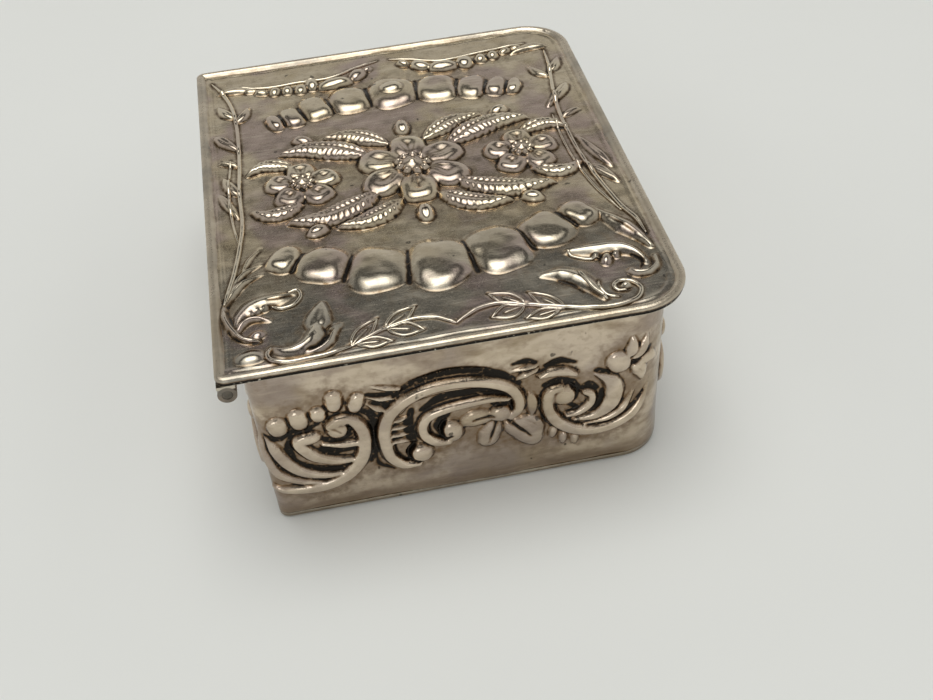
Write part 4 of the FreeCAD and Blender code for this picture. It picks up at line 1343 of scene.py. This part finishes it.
@dataclass
class Walls:
    """The stamped strip round the four sides.

    Heights on it are measured down from its top edge.  The end walls' places across are measured from
    the lid's hinge edge, and the sides' places from the middle of each side.  inner_share is how much of the
    relief shows inside.  oxide_gains and polish_gains go to the panel's methods of those names, and dents
    has the scale, depth and seed of each layer of dents.
    """

    thick: float = 0.6
    lean: float = 0.45
    hinge_corner: float = 1.4
    open_corner: float = 4.5
    lid_over_hinge: float = 2.0
    c_middle: float = 18.5
    side_c_share: float = 0.48
    curl_beyond: float = 8.8
    cell: float = 0.095
    crisp: float = 0.3
    inner_rows: int = 36
    inner_share: float = 0.75
    inner_softness: float = 0.35
    edge_round: float = 0.12
    edge_drop: float = 0.2
    oxide_gains: Point = (12.0, 2.0)
    polish_gains: Point = (1.0, 1.9)
    softness: float = 0.05
    dents: tuple[tuple[float, float, int], ...] = ((1.4, 0.020, 5), (0.4, 0.006, 6))
    path: Ring = field(init=False)
    top: float = field(init=False)
    foot: float = field(init=False)

    def __post_init__(self) -> None:
        """Takes the walls' plan from the frame: the base plate's size, and the lid's underside."""
        low, high = (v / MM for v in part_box("base_plate"))
        self.foot = high.z
        self.top = (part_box("lid_backing_plate")[0] / MM).z
        self.path = Ring(low.x - self.lean, high.x + self.lean, low.y - self.lean, high.y + self.lean,
                         self.hinge_corner, self.open_corner)

    @property
    def height(self) -> float:
        """From the base plate to the top edge."""
        return self.top - self.foot

    @staticmethod
    def fan() -> list[Form]:
        """The curled fan by the hinge, with flutes inside it and a row of berries over it."""
        berries = ((4.0, -6.25, 1.8, 2.2, 100), (5.8, -5.8, 1.7, 2.4, 98), (7.5, -5.55, 1.45, 1.7, 90),
                   (8.95, -4.35, 1.5, 2.4, 86), (10.75, -4.95, 1.4, 2.3, 70))
        return [
            Groove(((10.4, -5.6), (11.8, -6.6), (12.05, -8.6), (11.95, -10.6), (11.3, -12.4)),
                   (0.3, 0.8, 0.8, 0.7, 0.3)),
            Groove(((9.9, -10.4), (8.6, -10.2), (7.4, -10.0), (6.8, -10.6)), (0.4, 1.0, 1.2, 0.4)),
            Groove(((8.9, -12.4), (7.0, -12.25), (5.5, -11.6), (4.6, -10.3)), (0.3, 0.9, 1.0, 0.3)),
            Groove(((8.2, -13.5), (6.2, -13.5), (4.4, -12.8), (3.2, -11.6)), (0.3, 0.6, 0.6, 0.3)),
            Groove(((9.9, -8.6), (8.6, -8.95), (7.4, -8.5)), (0.3, 0.7, 0.4)),
            Groove(((4.9, -7.6), (4.5, -8.8), (4.8, -10.2)), (0.3, 0.6, 0.3)),
            Groove(((2.6, -7.0), (3.9, -7.7), (5.0, -7.1), (6.3, -7.1), (7.4, -6.6)),
                   (0.2, 0.6, 0.5, 0.6, 0.3)),
            Ridge(((9.6, -13.0), (7.4, -12.9), (5.4, -12.1), (4.1, -10.6), (3.3, -8.8), (2.8, -7.3)),
                  (0.4, 0.9, 1.25, 1.4, 1.2, 0.4), (0.35, 0.5, 0.55, 0.55, 0.45, 0.2), 0.3),
            Ridge(((7.4, -13.9), (5.2, -13.3), (3.4, -12.1), (2.5, -10.4), (2.1, -8.4), (2.0, -6.6)),
                  (0.4, 0.8, 1.0, 1.1, 0.9, 0.3), (0.3, 0.42, 0.45, 0.45, 0.35, 0.1), 0.3),
            Ridge(((2.2, -13.6), (3.8, -14.15), (5.6, -14.35), (7.6, -14.1), (9.4, -13.1),
                   (10.6, -11.4), (11.0, -9.6), (10.9, -8.0), (10.2, -6.8), (9.1, -6.5), (8.3, -7.0)),
                  (0.5, 1.1, 1.35, 1.45, 1.5, 1.45, 1.4, 1.3, 1.1),
                  (0.25, 0.45, 0.55, 0.6, 0.6, 0.6, 0.6), 0.4),
            Ridge(((10.5, -9.55), (9.0, -9.5), (7.4, -9.2)), (0.9, 0.9, 0.4), (0.5, 0.45, 0.25), 0.3),
            Ridge(((10.2, -11.6), (8.3, -11.3), (6.6, -10.4), (5.7, -9.2), (5.4, -8.3), (6.0, -7.9)),
                  (0.6, 1.0, 1.35, 1.35, 1.3, 1.2), (0.4, 0.5, 0.55, 0.58, 0.6, 0.6), 0.35),
            Pad(6.3, -8.1, 2.4, 1.4, 0.62, 4.0, 2.2, 0.45),
            Pad(8.9, -7.6, 2.1, 2.0, 0.64, 0.0, 2.0, 0.42),
            Groove(((9.75, -6.95), (9.95, -7.7), (9.5, -8.5), (8.5, -8.75)), (0.25, 0.5, 0.45, 0.25),
                   0.3),
            Groove(((8.1, -7.0), (8.8, -7.35), (9.2, -7.8)), (0.1, 0.16, 0.1), 0.1, 0.5),
            *(Pad(x, y, tall, wide, 0.5, lean, 2.3, 0.42) for x, y, wide, tall, lean in berries),
            Groove(((11.7, -4.25), (12.6, -4.5), (13.8, -4.6)), (0.3, 0.5, 0.3), 0.06),
            Groove(((11.9, -5.25), (12.7, -5.5), (13.5, -5.9)), (0.3, 0.6, 0.3), 0.06),
            Ridge(((14.6, -4.25), (13.4, -3.9), (12.2, -3.5)), (0.35, 0.55, 0.15), (0.3, 0.35, 0.15)),
            Ridge(((14.0, -5.15), (12.8, -4.95), (11.6, -4.5)), (0.35, 0.6, 0.15), (0.3, 0.38, 0.15)),
            Ridge(((13.2, -6.4), (12.4, -6.1), (11.6, -5.3)), (0.35, 0.6, 0.15), (0.3, 0.38, 0.15)),
        ]

    @staticmethod
    def c_scroll() -> list[Form]:
        """The large C-scroll with a smaller one inside it and a flower at its end."""
        return [
            Groove(((13.9, -5.0), (15.6, -3.85), (18.4, -3.3), (21.0, -3.6), (23.2, -4.55),
                    (24.8, -6.0)), (0.25, 0.7, 0.88, 0.8, 0.65, 0.25)),
            Groove(((16.1, -7.2), (17.6, -6.25), (19.6, -5.95), (21.6, -6.1), (23.3, -6.9)),
                   (0.4, 0.9, 1.0, 0.9, 0.3)),
            Groove(((15.3, -7.0), (14.9, -8.4), (14.95, -9.8), (15.2, -10.9)), (0.5, 1.0, 1.0, 0.6),
                   0.1, 0.9),
            Groove(((18.2, -8.2), (17.4, -9.3), (17.6, -10.6)), (0.8, 0.8, 0.3)),
            Groove(((23.6, -7.9), (23.2, -8.2), (22.3, -7.9)), (0.5, 0.7, 0.4)),
            Groove(((11.8, -11.6), (12.0, -12.9), (13.2, -13.9)), (0.3, 0.5, 0.3), 0.06, 0.6),
            *(Ridge(((13.3, y), (14.2, y - 0.1), (15.0, y + tilt)), (0.5, 0.45, 0.2), (0.4, 0.35, 0.15))
              for y, tilt in ((-6.9, 0.5), (-7.8, 0.2), (-8.7, 0.0), (-9.6, -0.15), (-10.4, -0.3))),
            Ridge(((15.2, -6.0), (17.2, -5.4), (19.4, -5.3), (21.6, -5.55)), (0.3, 0.55, 0.55, 0.3),
                  0.25),
            Ridge(((15.4, -13.4), (14.1, -13.3), (13.1, -12.2), (12.75, -10.6), (12.75, -8.8),
                   (13.3, -7.1), (14.6, -5.75), (16.4, -4.85), (18.4, -4.55), (20.4, -4.7),
                   (22.3, -5.25), (23.8, -6.2), (24.5, -7.5), (24.5, -8.8), (23.8, -9.6)),
                  (0.7, 1.2, 1.45, 1.5, 1.4, 1.25, 1.15, 1.2, 1.3, 1.25, 0.9), 0.62, 0.4),
            Ridge(((18.2, -11.4), (17.1, -11.2), (16.2, -10.2), (16.1, -9.0), (16.7, -7.95),
                   (18.2, -7.4), (20.2, -7.15), (22.0, -7.1), (23.6, -7.4)),
                  (0.8, 1.1, 1.2, 1.15, 1.1, 1.0, 0.9, 0.6), 0.56, 0.35),
            Pad(15.7, -12.4, 2.2, 2.1, 0.64, 0.0, 2.0, 0.42),
            Groove(((15.2, -11.2), (14.65, -12.0), (14.9, -12.9), (15.6, -13.2)), (0.4, 0.5, 0.35, 0.2),
                   0.3),
            Pad(18.6, -10.35, 2.0, 2.5, 0.6, 10.0, 2.0, 0.42),
            Groove(((18.0, -9.0), (17.6, -9.9), (17.9, -10.9), (18.5, -10.6)), (0.4, 0.5, 0.35, 0.15),
                   0.28),
            Pad(22.9, -9.15, 2.1, 1.9, 0.64, 0.0, 2.0, 0.42),
            Pad(20.8, -9.3, 3.0, 1.9, 0.46, 6.0, 2.2, 0.5, 0.22, 0.04),
            Pad(21.9, -11.5, 3.4, 2.0, 0.48, 70.0, 2.2, 0.5, 0.22, 0.04),
            Pad(24.95, -11.9, 4.4, 2.5, 0.50, -52.0, 2.5, 0.5, 0.22, 0.04),
            Leaf(((24.6, -10.0), (26.0, -11.2), (26.5, -12.9)), 1.4, 0.42, groove=0.25),
            Leaf(((25.5, -7.2), (25.75, -8.8), (25.6, -10.4)), 1.2, 0.36, groove=0.2),
            Groove(((22.2, -9.2), (21.3, -9.2), (20.3, -9.35)), (0.5, 0.34, 0.05), 0.16, 0.55),
            Groove(((23.6, -10.2), (24.6, -11.4), (25.6, -12.6)), (0.5, 0.4, 0.05), 0.2, 0.55),
            Groove(((22.5, -10.0), (22.1, -11.2), (21.7, -12.4)), (0.5, 0.32, 0.05), 0.16, 0.5),
            Groove(((24.2, -3.75), (25.3, -3.6), (26.2, -3.95)), (0.3, 0.65, 0.3), 0.06),
            Ridge(((26.2, -4.35), (25.2, -4.35), (24.0, -4.55)), (0.3, 0.5, 0.15), (0.3, 0.36, 0.15)),
            Ridge(((26.2, -4.8), (25.2, -5.1), (24.3, -5.6)), (0.4, 0.8, 0.2), (0.3, 0.4, 0.15)),
        ]

    @staticmethod
    def corner_scroll() -> list[Form]:
        """The scroll that opens towards the rounded corner, with a flower on the corner itself."""
        return [
            Groove(((27.0, -4.5), (28.2, -4.2), (29.6, -4.7)), (0.4, 0.8, 0.3), 0.06),
            Groove(((26.8, -6.8), (27.9, -6.5), (29.2, -6.9), (29.8, -7.6)), (0.4, 0.7, 0.7, 0.4)),
            Groove(((30.1, -7.9), (30.8, -7.6), (31.5, -8.2)), (0.4, 0.8, 0.4)),
            Groove(((29.0, -9.6), (29.6, -10.2), (29.2, -11.0)), (0.4, 0.6, 0.5)),
            Groove(((31.2, -10.7), (31.9, -9.8), (31.9, -8.6)), (0.3, 0.6, 0.4)),
            Groove(((30.6, -12.55), (32.8, -12.45), (34.6, -11.5), (35.9, -9.9)), (0.4, 0.8, 0.8, 0.3)),
            Groove(((29.6, -12.0), (31.4, -11.9), (33.2, -10.8)), (0.3, 0.45, 0.3)),
            Groove(((31.5, -6.1), (32.6, -6.6)), (0.6, 0.3), 0.06),
            Groove(((34.7, -6.0), (35.6, -5.6), (36.6, -4.9)), (0.4, 0.6, 0.3), 0.06),
            Ridge(((26.5, -5.5), (27.4, -5.3), (28.6, -5.45), (29.6, -5.95)), (0.6, 1.1, 1.1, 0.5), 0.5,
                  0.3),
            Ridge(((28.2, -7.2), (27.35, -7.5), (27.05, -8.7), (27.25, -10.1), (28.0, -11.5),
                   (29.3, -12.6), (31.0, -13.15), (32.8, -13.0), (34.4, -12.2), (35.6, -11.0),
                   (36.4, -9.6)), (0.8, 1.3, 1.35, 1.35, 1.3, 1.2, 0.5),
                  (0.5, 0.6, 0.6, 0.6, 0.6, 0.5, 0.15), 0.4),
            Ridge(((28.8, -10.8), (29.9, -10.6), (30.9, -9.8), (31.0, -8.8), (30.4, -8.3)),
                  (0.6, 0.9, 0.9, 0.9, 0.7), 0.48, 0.3),
            Ridge(((29.4, -11.6), (31.3, -11.4), (32.6, -10.3), (33.0, -8.8), (32.6, -7.4),
                   (31.4, -6.5)), (0.4, 1.1, 1.8, 2.0, 1.5, 0.4), (0.3, 0.5, 0.56, 0.56, 0.5, 0.2),
                  0.4),
            Ridge(((30.4, -12.3), (32.4, -12.0), (33.8, -11.1), (34.8, -9.4)), (0.4, 0.8, 0.9, 0.3),
                  (0.3, 0.48, 0.45, 0.2), 0.3),
            Pad(28.55, -8.3, 2.3, 2.3, 0.64, 0.0, 2.0, 0.42),
            Groove(((29.2, -7.3), (29.7, -8.2), (29.4, -9.2), (28.6, -9.6)), (0.3, 0.45, 0.4, 0.2), 0.26),
            Pad(33.4, -5.6, 2.2, 2.5, 0.5, 15.0, 2.2, 0.45),
            Leaf(((34.2, -5.2), (34.6, -4.2), (34.6, -2.9)), 1.2, 0.4, groove=0.2),
            Leaf(((34.6, -5.6), (35.6, -4.6), (36.1, -3.2)), 1.1, 0.36, groove=0.2),
            Leaf(((34.6, -6.2), (35.4, -7.0), (35.6, -8.4)), 1.6, 0.4, groove=0.2),
            Leaf(((35.2, -6.0), (36.4, -6.0), (37.4, -6.6)), 1.4, 0.36, groove=0.2),
            Pad(27.55, -12.7, 1.7, 0.8, 0.36, 80.0, 2.0, 0.5),
            Pad(28.45, -13.7, 1.6, 0.75, 0.34, 84.0, 2.0, 0.5),
            Pad(29.5, -14.1, 1.4, 0.7, 0.3, 88.0, 2.0, 0.5),
        ]

    @staticmethod
    def side_curl(reach: float) -> list[Form]:
        """A small curl under three berries; reach is its distance out from the middle of the side."""
        def out(points: Curve) -> Curve:
            """Points measured from the curl's middle, set at its place."""
            return [(x - reach, y) for x, y in points]

        return [
            Groove(out(((2.0, -6.6), (0.2, -7.2), (-1.6, -7.6))), (0.3, 0.6, 0.3), 0.1, 0.8),
            Groove(out(((0.7, -9.2), (-0.1, -10.2), (0.3, -11.6))), (0.4, 0.8, 0.4)),
            Ridge(out(((2.0, -13.0), (0.2, -13.4), (-1.3, -12.4), (-1.8, -10.7), (-1.3, -9.2),
                       (0.1, -8.5), (1.4, -9.0))), (0.5, 1.1, 1.3, 1.3, 1.2, 1.1, 0.9), 0.56, 0.4),
            Pad(0.9 - reach, -9.9, 1.9, 1.9, 0.6, 0.0, 2.0, 0.42),
            *(Pad(x - reach, y, 2.1, 1.6, 0.48, 95.0, 2.3, 0.42)
              for x, y in ((-1.5, -6.2), (0.3, -5.6), (2.1, -5.1))),
        ]

    def sheet(self) -> Panel:
        """The whole strip's relief, once round from the middle of the hinge side.

        The end walls carry the same run of scrolls, mirrored.  Each half of a side has a C-scroll and a
        curl, and the halves meet at an upright leaf.

        Returns:
            The panel, whose x is arc length along the path.
        """
        starts = self.path.starts
        lengths = np.diff(starts)
        seam = -(lengths[7] + lengths[6] / 2)
        panel = Panel.sized(seam, seam + starts[-1], -self.height, 0.0, self.cell, self.crisp)
        first = self.lid_over_hinge + self.hinge_corner
        for end in (panel.seen_from(-first), panel.seen_from(starts[5] + first, True)):
            end.stamp(self.fan() + self.c_scroll() + self.corner_scroll())
        opening = starts[2] + lengths[2] / 2
        halves = ((lengths[2], panel.seen_from(opening)), (lengths[2], panel.seen_from(opening, True)),
                  (lengths[6], panel.seen_from(seam + starts[-1])),
                  (lengths[6], panel.seen_from(seam, True)))
        for length, half in halves:
            c_out = self.side_c_share * length / 2
            half.seen_from(-self.c_middle - c_out).stamp(self.c_scroll())
            half.stamp(self.side_curl(c_out + self.curl_beyond))
            half.stamp([
                Leaf(((0.0, -13.6), (0.0, -9.0), (0.0, -4.0)), 2.2, 0.5, groove=0.3),
                Leaf(((-0.3, -13.3), (-1.5, -12.3), (-2.1, -10.6)), 1.2, 0.4, groove=0.2),
            ])
        panel.height = panel.blurred(self.softness, passes=1)
        for layer in self.dents:
            panel.uneven(*layer)
        return panel

    def surface(self, panel: Panel) -> tuple[np.ndarray, np.ndarray]:
        """The strip's closed section at each column: outer face, top edge, inner face.

        Each place is the path's place moved out along its normal by the relief, less the wall's lean.  The
        inner face carries the relief softened.  Directions are cross products of neighbours' differences.

        Args:
            panel: The relief.

        Returns:
            The places and their shading directions.
        """
        soft = panel.blurred(self.inner_softness)
        rows = np.linspace(len(panel.ys) - 1, 0, self.inner_rows).astype(int)
        lip = np.array([[-self.edge_round], [self.edge_round - self.thick]]) * np.ones((1, len(panel.xs)))
        offset = np.vstack([panel.height, lip, self.inner_share * soft[rows] - self.thick])
        level = np.concatenate([panel.ys, [0.0, 0.0], panel.ys[rows]])
        shoulders = [len(panel.ys) - 1, len(panel.ys) + 2]
        level[shoulders] = -self.edge_drop * self.edge_round
        spot, out = self.path.at(panel.xs)
        reach = offset + self.lean * (level / self.height)[:, None]
        points = np.stack([
            spot[None, :, 0] + reach * out[None, :, 0],
            spot[None, :, 1] + reach * out[None, :, 1],
            np.repeat((self.top + level)[:, None], len(panel.xs), 1),
        ], -1)
        ring = np.concatenate([points[:, -2:-1], points, points[:, 1:2]], axis=1)
        normals = np.cross(ring[:, 2:] - ring[:, :-2], np.roll(points, -1, 0) - np.roll(points, 1, 0))
        return points, normals / np.linalg.norm(normals, axis=-1, keepdims=True)

    def build(self, finish: SilverFinish) -> None:
        """Stamps the strip, bends it round the path and writes it in five lengths with shared normals.

        Args:
            finish: The walls' finish.
        """
        panel = self.sheet()
        points, normals = self.surface(panel)
        spare = np.zeros((len(points) - len(panel.ys), len(panel.xs)))
        oxide = np.vstack([panel.oxide(*self.oxide_gains), spare])
        polish = np.vstack([panel.polish(*self.polish_gains), spare])
        starts = self.path.starts
        material = finish.material()
        cuts = np.searchsorted(panel.xs, [starts[7] - starts[8], starts[2], starts[3], starts[6]])
        cuts = [0, *cuts, len(panel.xs) - 1]
        names = ("wall_hinge_side_front", "wall_front", "wall_opening_side", "wall_back",
                 "wall_hinge_side_rear")
        for name, low, high in zip(names, cuts, cuts[1:]):
            cols = slice(low, high + 1)
            n, m = len(points), high + 1 - low
            first = np.arange(n) * m
            parts = MeshParts()
            parts.add(points[:, cols], quad_strip(n, m, wrap_rows=True), [first, (first + m - 1)[::-1]],
                      oxide=oxide[:, cols], polish=polish[:, cols], normals=normals[:, cols])
            parts.piece(name, Body.BOX, "wall_band", Slot.STAMPED, material)


# The studio


@dataclass(frozen=True)
class Lamp:
    """A square soft light that faces the box: its middle and side in millimetres, and its watts."""

    name: str
    place: Triple
    size: float
    power: float
    colour: Triple

    def light(self) -> None:
        """Hangs it in the scene."""
        data = bpy.data.lights.new(self.name, "AREA")
        data.shape, data.size = "SQUARE", self.size * MM
        data.energy, data.color = self.power, self.colour
        lamp = bpy.data.objects.new(self.name, data)
        lamp.location = Vector(self.place) * MM
        lamp.rotation_euler = (-Vector(self.place)).to_track_quat("-Z", "Y").to_euler()
        bpy.context.scene.collection.objects.link(lamp)


@dataclass
class Studio:
    """Pale floor, soft light and the camera at the photograph's viewing angle."""

    focal_pixels: float = 1278.15
    frame_pixels: float = 933.0
    sensor: float = 36.0
    eye: Triple = (-9.893, -101.628, 86.678)
    aim: Triple = (48.044, 3.616, -10.638)
    nearest: float = 5.0
    table: Colour = (0.78, 0.80, 0.785, 1.0)
    table_reach: float = 4000.0
    table_clouds: float = 30.0
    table_shade: float = 0.96
    table_roughness: float = 0.75
    backdrop: Colour = (0.60, 0.61, 0.595, 1.0)
    room_tint: Triple = (1.0, 0.985, 0.95)
    ceiling_way: Triple = (-0.06, 0.12, 1.0)
    ceiling: tuple[Point, ...] = (
        (0.0, 0.64), (0.16, 0.60), (0.42, 0.60), (0.54, 0.58), (0.61, 0.60), (0.655, 0.61), (0.70, 0.10),
        (0.74, 0.05), (0.82, 0.05), (0.90, 1.35), (1.0, 2.15))
    lamps: tuple[Lamp, ...] = (
        Lamp("ceiling_panel", (-10.0, 70.0, 520.0), 300.0, 0.50, (1.0, 0.98, 0.94)),
        Lamp("low_window", (-180.0, -480.0, 200.0), 220.0, 0.26, (0.93, 0.97, 1.0)))

    def camera(self) -> None:
        """A pinhole camera at the eye, turned from straight down by the aim's degrees about x, y and z."""
        data = bpy.data.cameras.new("camera")
        data.sensor_width = self.sensor
        data.lens = self.focal_pixels / self.frame_pixels * self.sensor
        data.clip_start = self.nearest * MM
        data.dof.use_dof = False
        camera = bpy.data.objects.new("camera", data)
        turn = Euler([math.radians(v) for v in self.aim]).to_matrix()
        camera.matrix_world = Matrix.Translation(Vector(self.eye) * MM) @ turn.to_4x4()
        bpy.context.scene.collection.objects.link(camera)
        bpy.context.scene.camera = camera

    def floor(self) -> None:
        """A wide pale table top."""
        side = np.linspace(-self.table_reach, self.table_reach, 3)
        x, y = np.meshgrid(side, side)
        parts = MeshParts()
        parts.add(np.stack([x, y, np.zeros_like(x)], -1), quad_strip(3, 3))
        floor = parts.build("floor")
        book = Book(bpy.data.materials.new("pale_table"))
        clouds = book.noise(book.place(), self.table_clouds, 3.0)
        shade = tuple(c * self.table_shade for c in self.table[:3]) + (1.0,)
        colour = book.blend(clouds, self.table, shade)
        floor.data.materials.append(book.finish({"Base Color": colour, "Roughness": self.table_roughness}))

    def world(self) -> None:
        """A room with a bright ceiling, leaning a little back, dim upper walls and a pale lower part.

        Its grey follows the cosine of the angle from the ceiling's middle.  The camera sees a plain pale
        backdrop.
        """
        world = bpy.data.worlds.new("room")
        book = Book(world)
        spot = book.add("ShaderNodeTexCoord", {}, {}, "Generated")
        lean = Vector(self.ceiling_way).normalized()
        cosine = book.add("ShaderNodeVectorMath", {"operation": "DOT_PRODUCT"}, {0: spot, 1: lean},
                          "Value")
        grey = book.add("ShaderNodeValToRGB", {}, {"Fac": cosine}, "Color")
        steps = grey.socket.node.color_ramp.elements
        while len(steps) < len(self.ceiling):
            steps.new(0.5)
        for step, (where, level) in zip(steps, self.ceiling):
            step.position = where
            step.color = tuple(level * tint for tint in self.room_tint) + (1.0,)
        seen = book.add("ShaderNodeLightPath", {}, {}, "Is Camera Ray")
        colour = book.blend(seen, grey, self.backdrop)
        book.close(book.add("ShaderNodeBackground", {}, {"Color": colour}), "ShaderNodeOutputWorld")
        bpy.context.scene.world = world

    def build(self) -> None:
        """Sets the stage."""
        self.floor()
        self.world()
        self.camera()
        for lamp in self.lamps:
            lamp.light()
        bpy.context.scene.view_settings.view_transform = "Standard"


def dress_nodes(finish: SilverFinish, nodes: Sequence[str]) -> None:
    """Gives CAD nodes a finish in place of their plain one.

    Args:
        finish: The finish.
        nodes: The nodes' names.
    """
    material = finish.material()
    for name in nodes:
        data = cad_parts[name].data
        data.materials.clear()
        data.materials.append(material)


def main() -> None:
    """Builds the lid, the walls and the stage, and dresses the plain pieces."""
    logging.basicConfig(level=logging.INFO, format="%(name)s: %(message)s")
    # The lid's front is painted a cold dark grey that stands in for a dark reflection.
    lid = SilverFinish("lid_silver", bright=(0.78, 0.705, 0.565, 1.0), cloud=(0.47, 0.383, 0.243, 1.0),
                       cool_tone_and_dark_reflection=(0.112, 0.109, 0.10, 1.0), brown=(0.13, 0.085, 0.045, 1.0),
                       stain=(0.30, 0.24, 0.17, 1.0), dulling=0.62, blushing=0.8, dark_reflection_span=(-18.0, -8.0),
                       dents=0.15, streaks=0.25, sheen=0.19)
    rim = SilverFinish("rim_silver", bright=(0.60, 0.53, 0.42, 1.0), sheen=0.32, dents=0.3)
    Lid().build(lid, rim)
    wall = SilverFinish("wall_silver", bright=(0.73, 0.615, 0.48, 1.0), cloud=(0.30, 0.225, 0.14, 1.0),
                        stain=(0.27, 0.20, 0.14, 1.0), cool_tone_and_dark_reflection=(0.32, 0.25, 0.205, 1.0),
                        blush=(0.34, 0.28, 0.255, 1.0), blushing=0.6, sheen=0.16, dulling=0.18,
                        rubbing=0.03, darkened_below=2.2, dents=0.4, patching=0.72)
    Walls().build(wall)
    inside = {"bright": (0.66, 0.595, 0.49, 1.0), "cloud": (0.45, 0.385, 0.285, 1.0),
              "cool_tone_and_dark_reflection": (0.40, 0.36, 0.30, 1.0), "sheen": 0.15, "clouding": 0.4, "dents": 0.12}
    lining = {**inside, "stain": (0.46, 0.40, 0.31, 1.0)}
    dress_nodes(SilverFinish("sheet_silver", **lining),
                ("lid_bezel", "lid_hinge_leaf_front", "lid_hinge_leaf_rear", "body_hinge_leaf"))
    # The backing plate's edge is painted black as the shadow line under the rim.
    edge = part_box("lid_backing_plate")[0].z / MM + SHADOW_LINE_GAP
    dress_nodes(SilverFinish("backing_silver_shadow_line", **lining, shadow_line_above=edge), ("lid_backing_plate",))
    # The base plate is darker towards the table.
    base = SilverFinish("base_silver", **inside, stain=(0.20, 0.15, 0.10, 1.0), darkened_below=0.6)
    dress_nodes(base, ("base_plate",))
    tube = SilverFinish("tube_silver", bright=(0.26, 0.22, 0.18, 1.0), cloud=(0.14, 0.115, 0.09, 1.0),
                        sheen=0.32)
    dress_nodes(tube, ("lid_knuckle_front", "lid_knuckle_rear", "body_knuckle"))
    pin = SilverFinish("pin_silver", bright=(0.16, 0.14, 0.115, 1.0), cloud=(0.08, 0.07, 0.055, 1.0),
                       sheen=0.40)
    dress_nodes(pin, ("hinge_pin",))
    Studio().build()


if __name__ == "__main__":
    main()
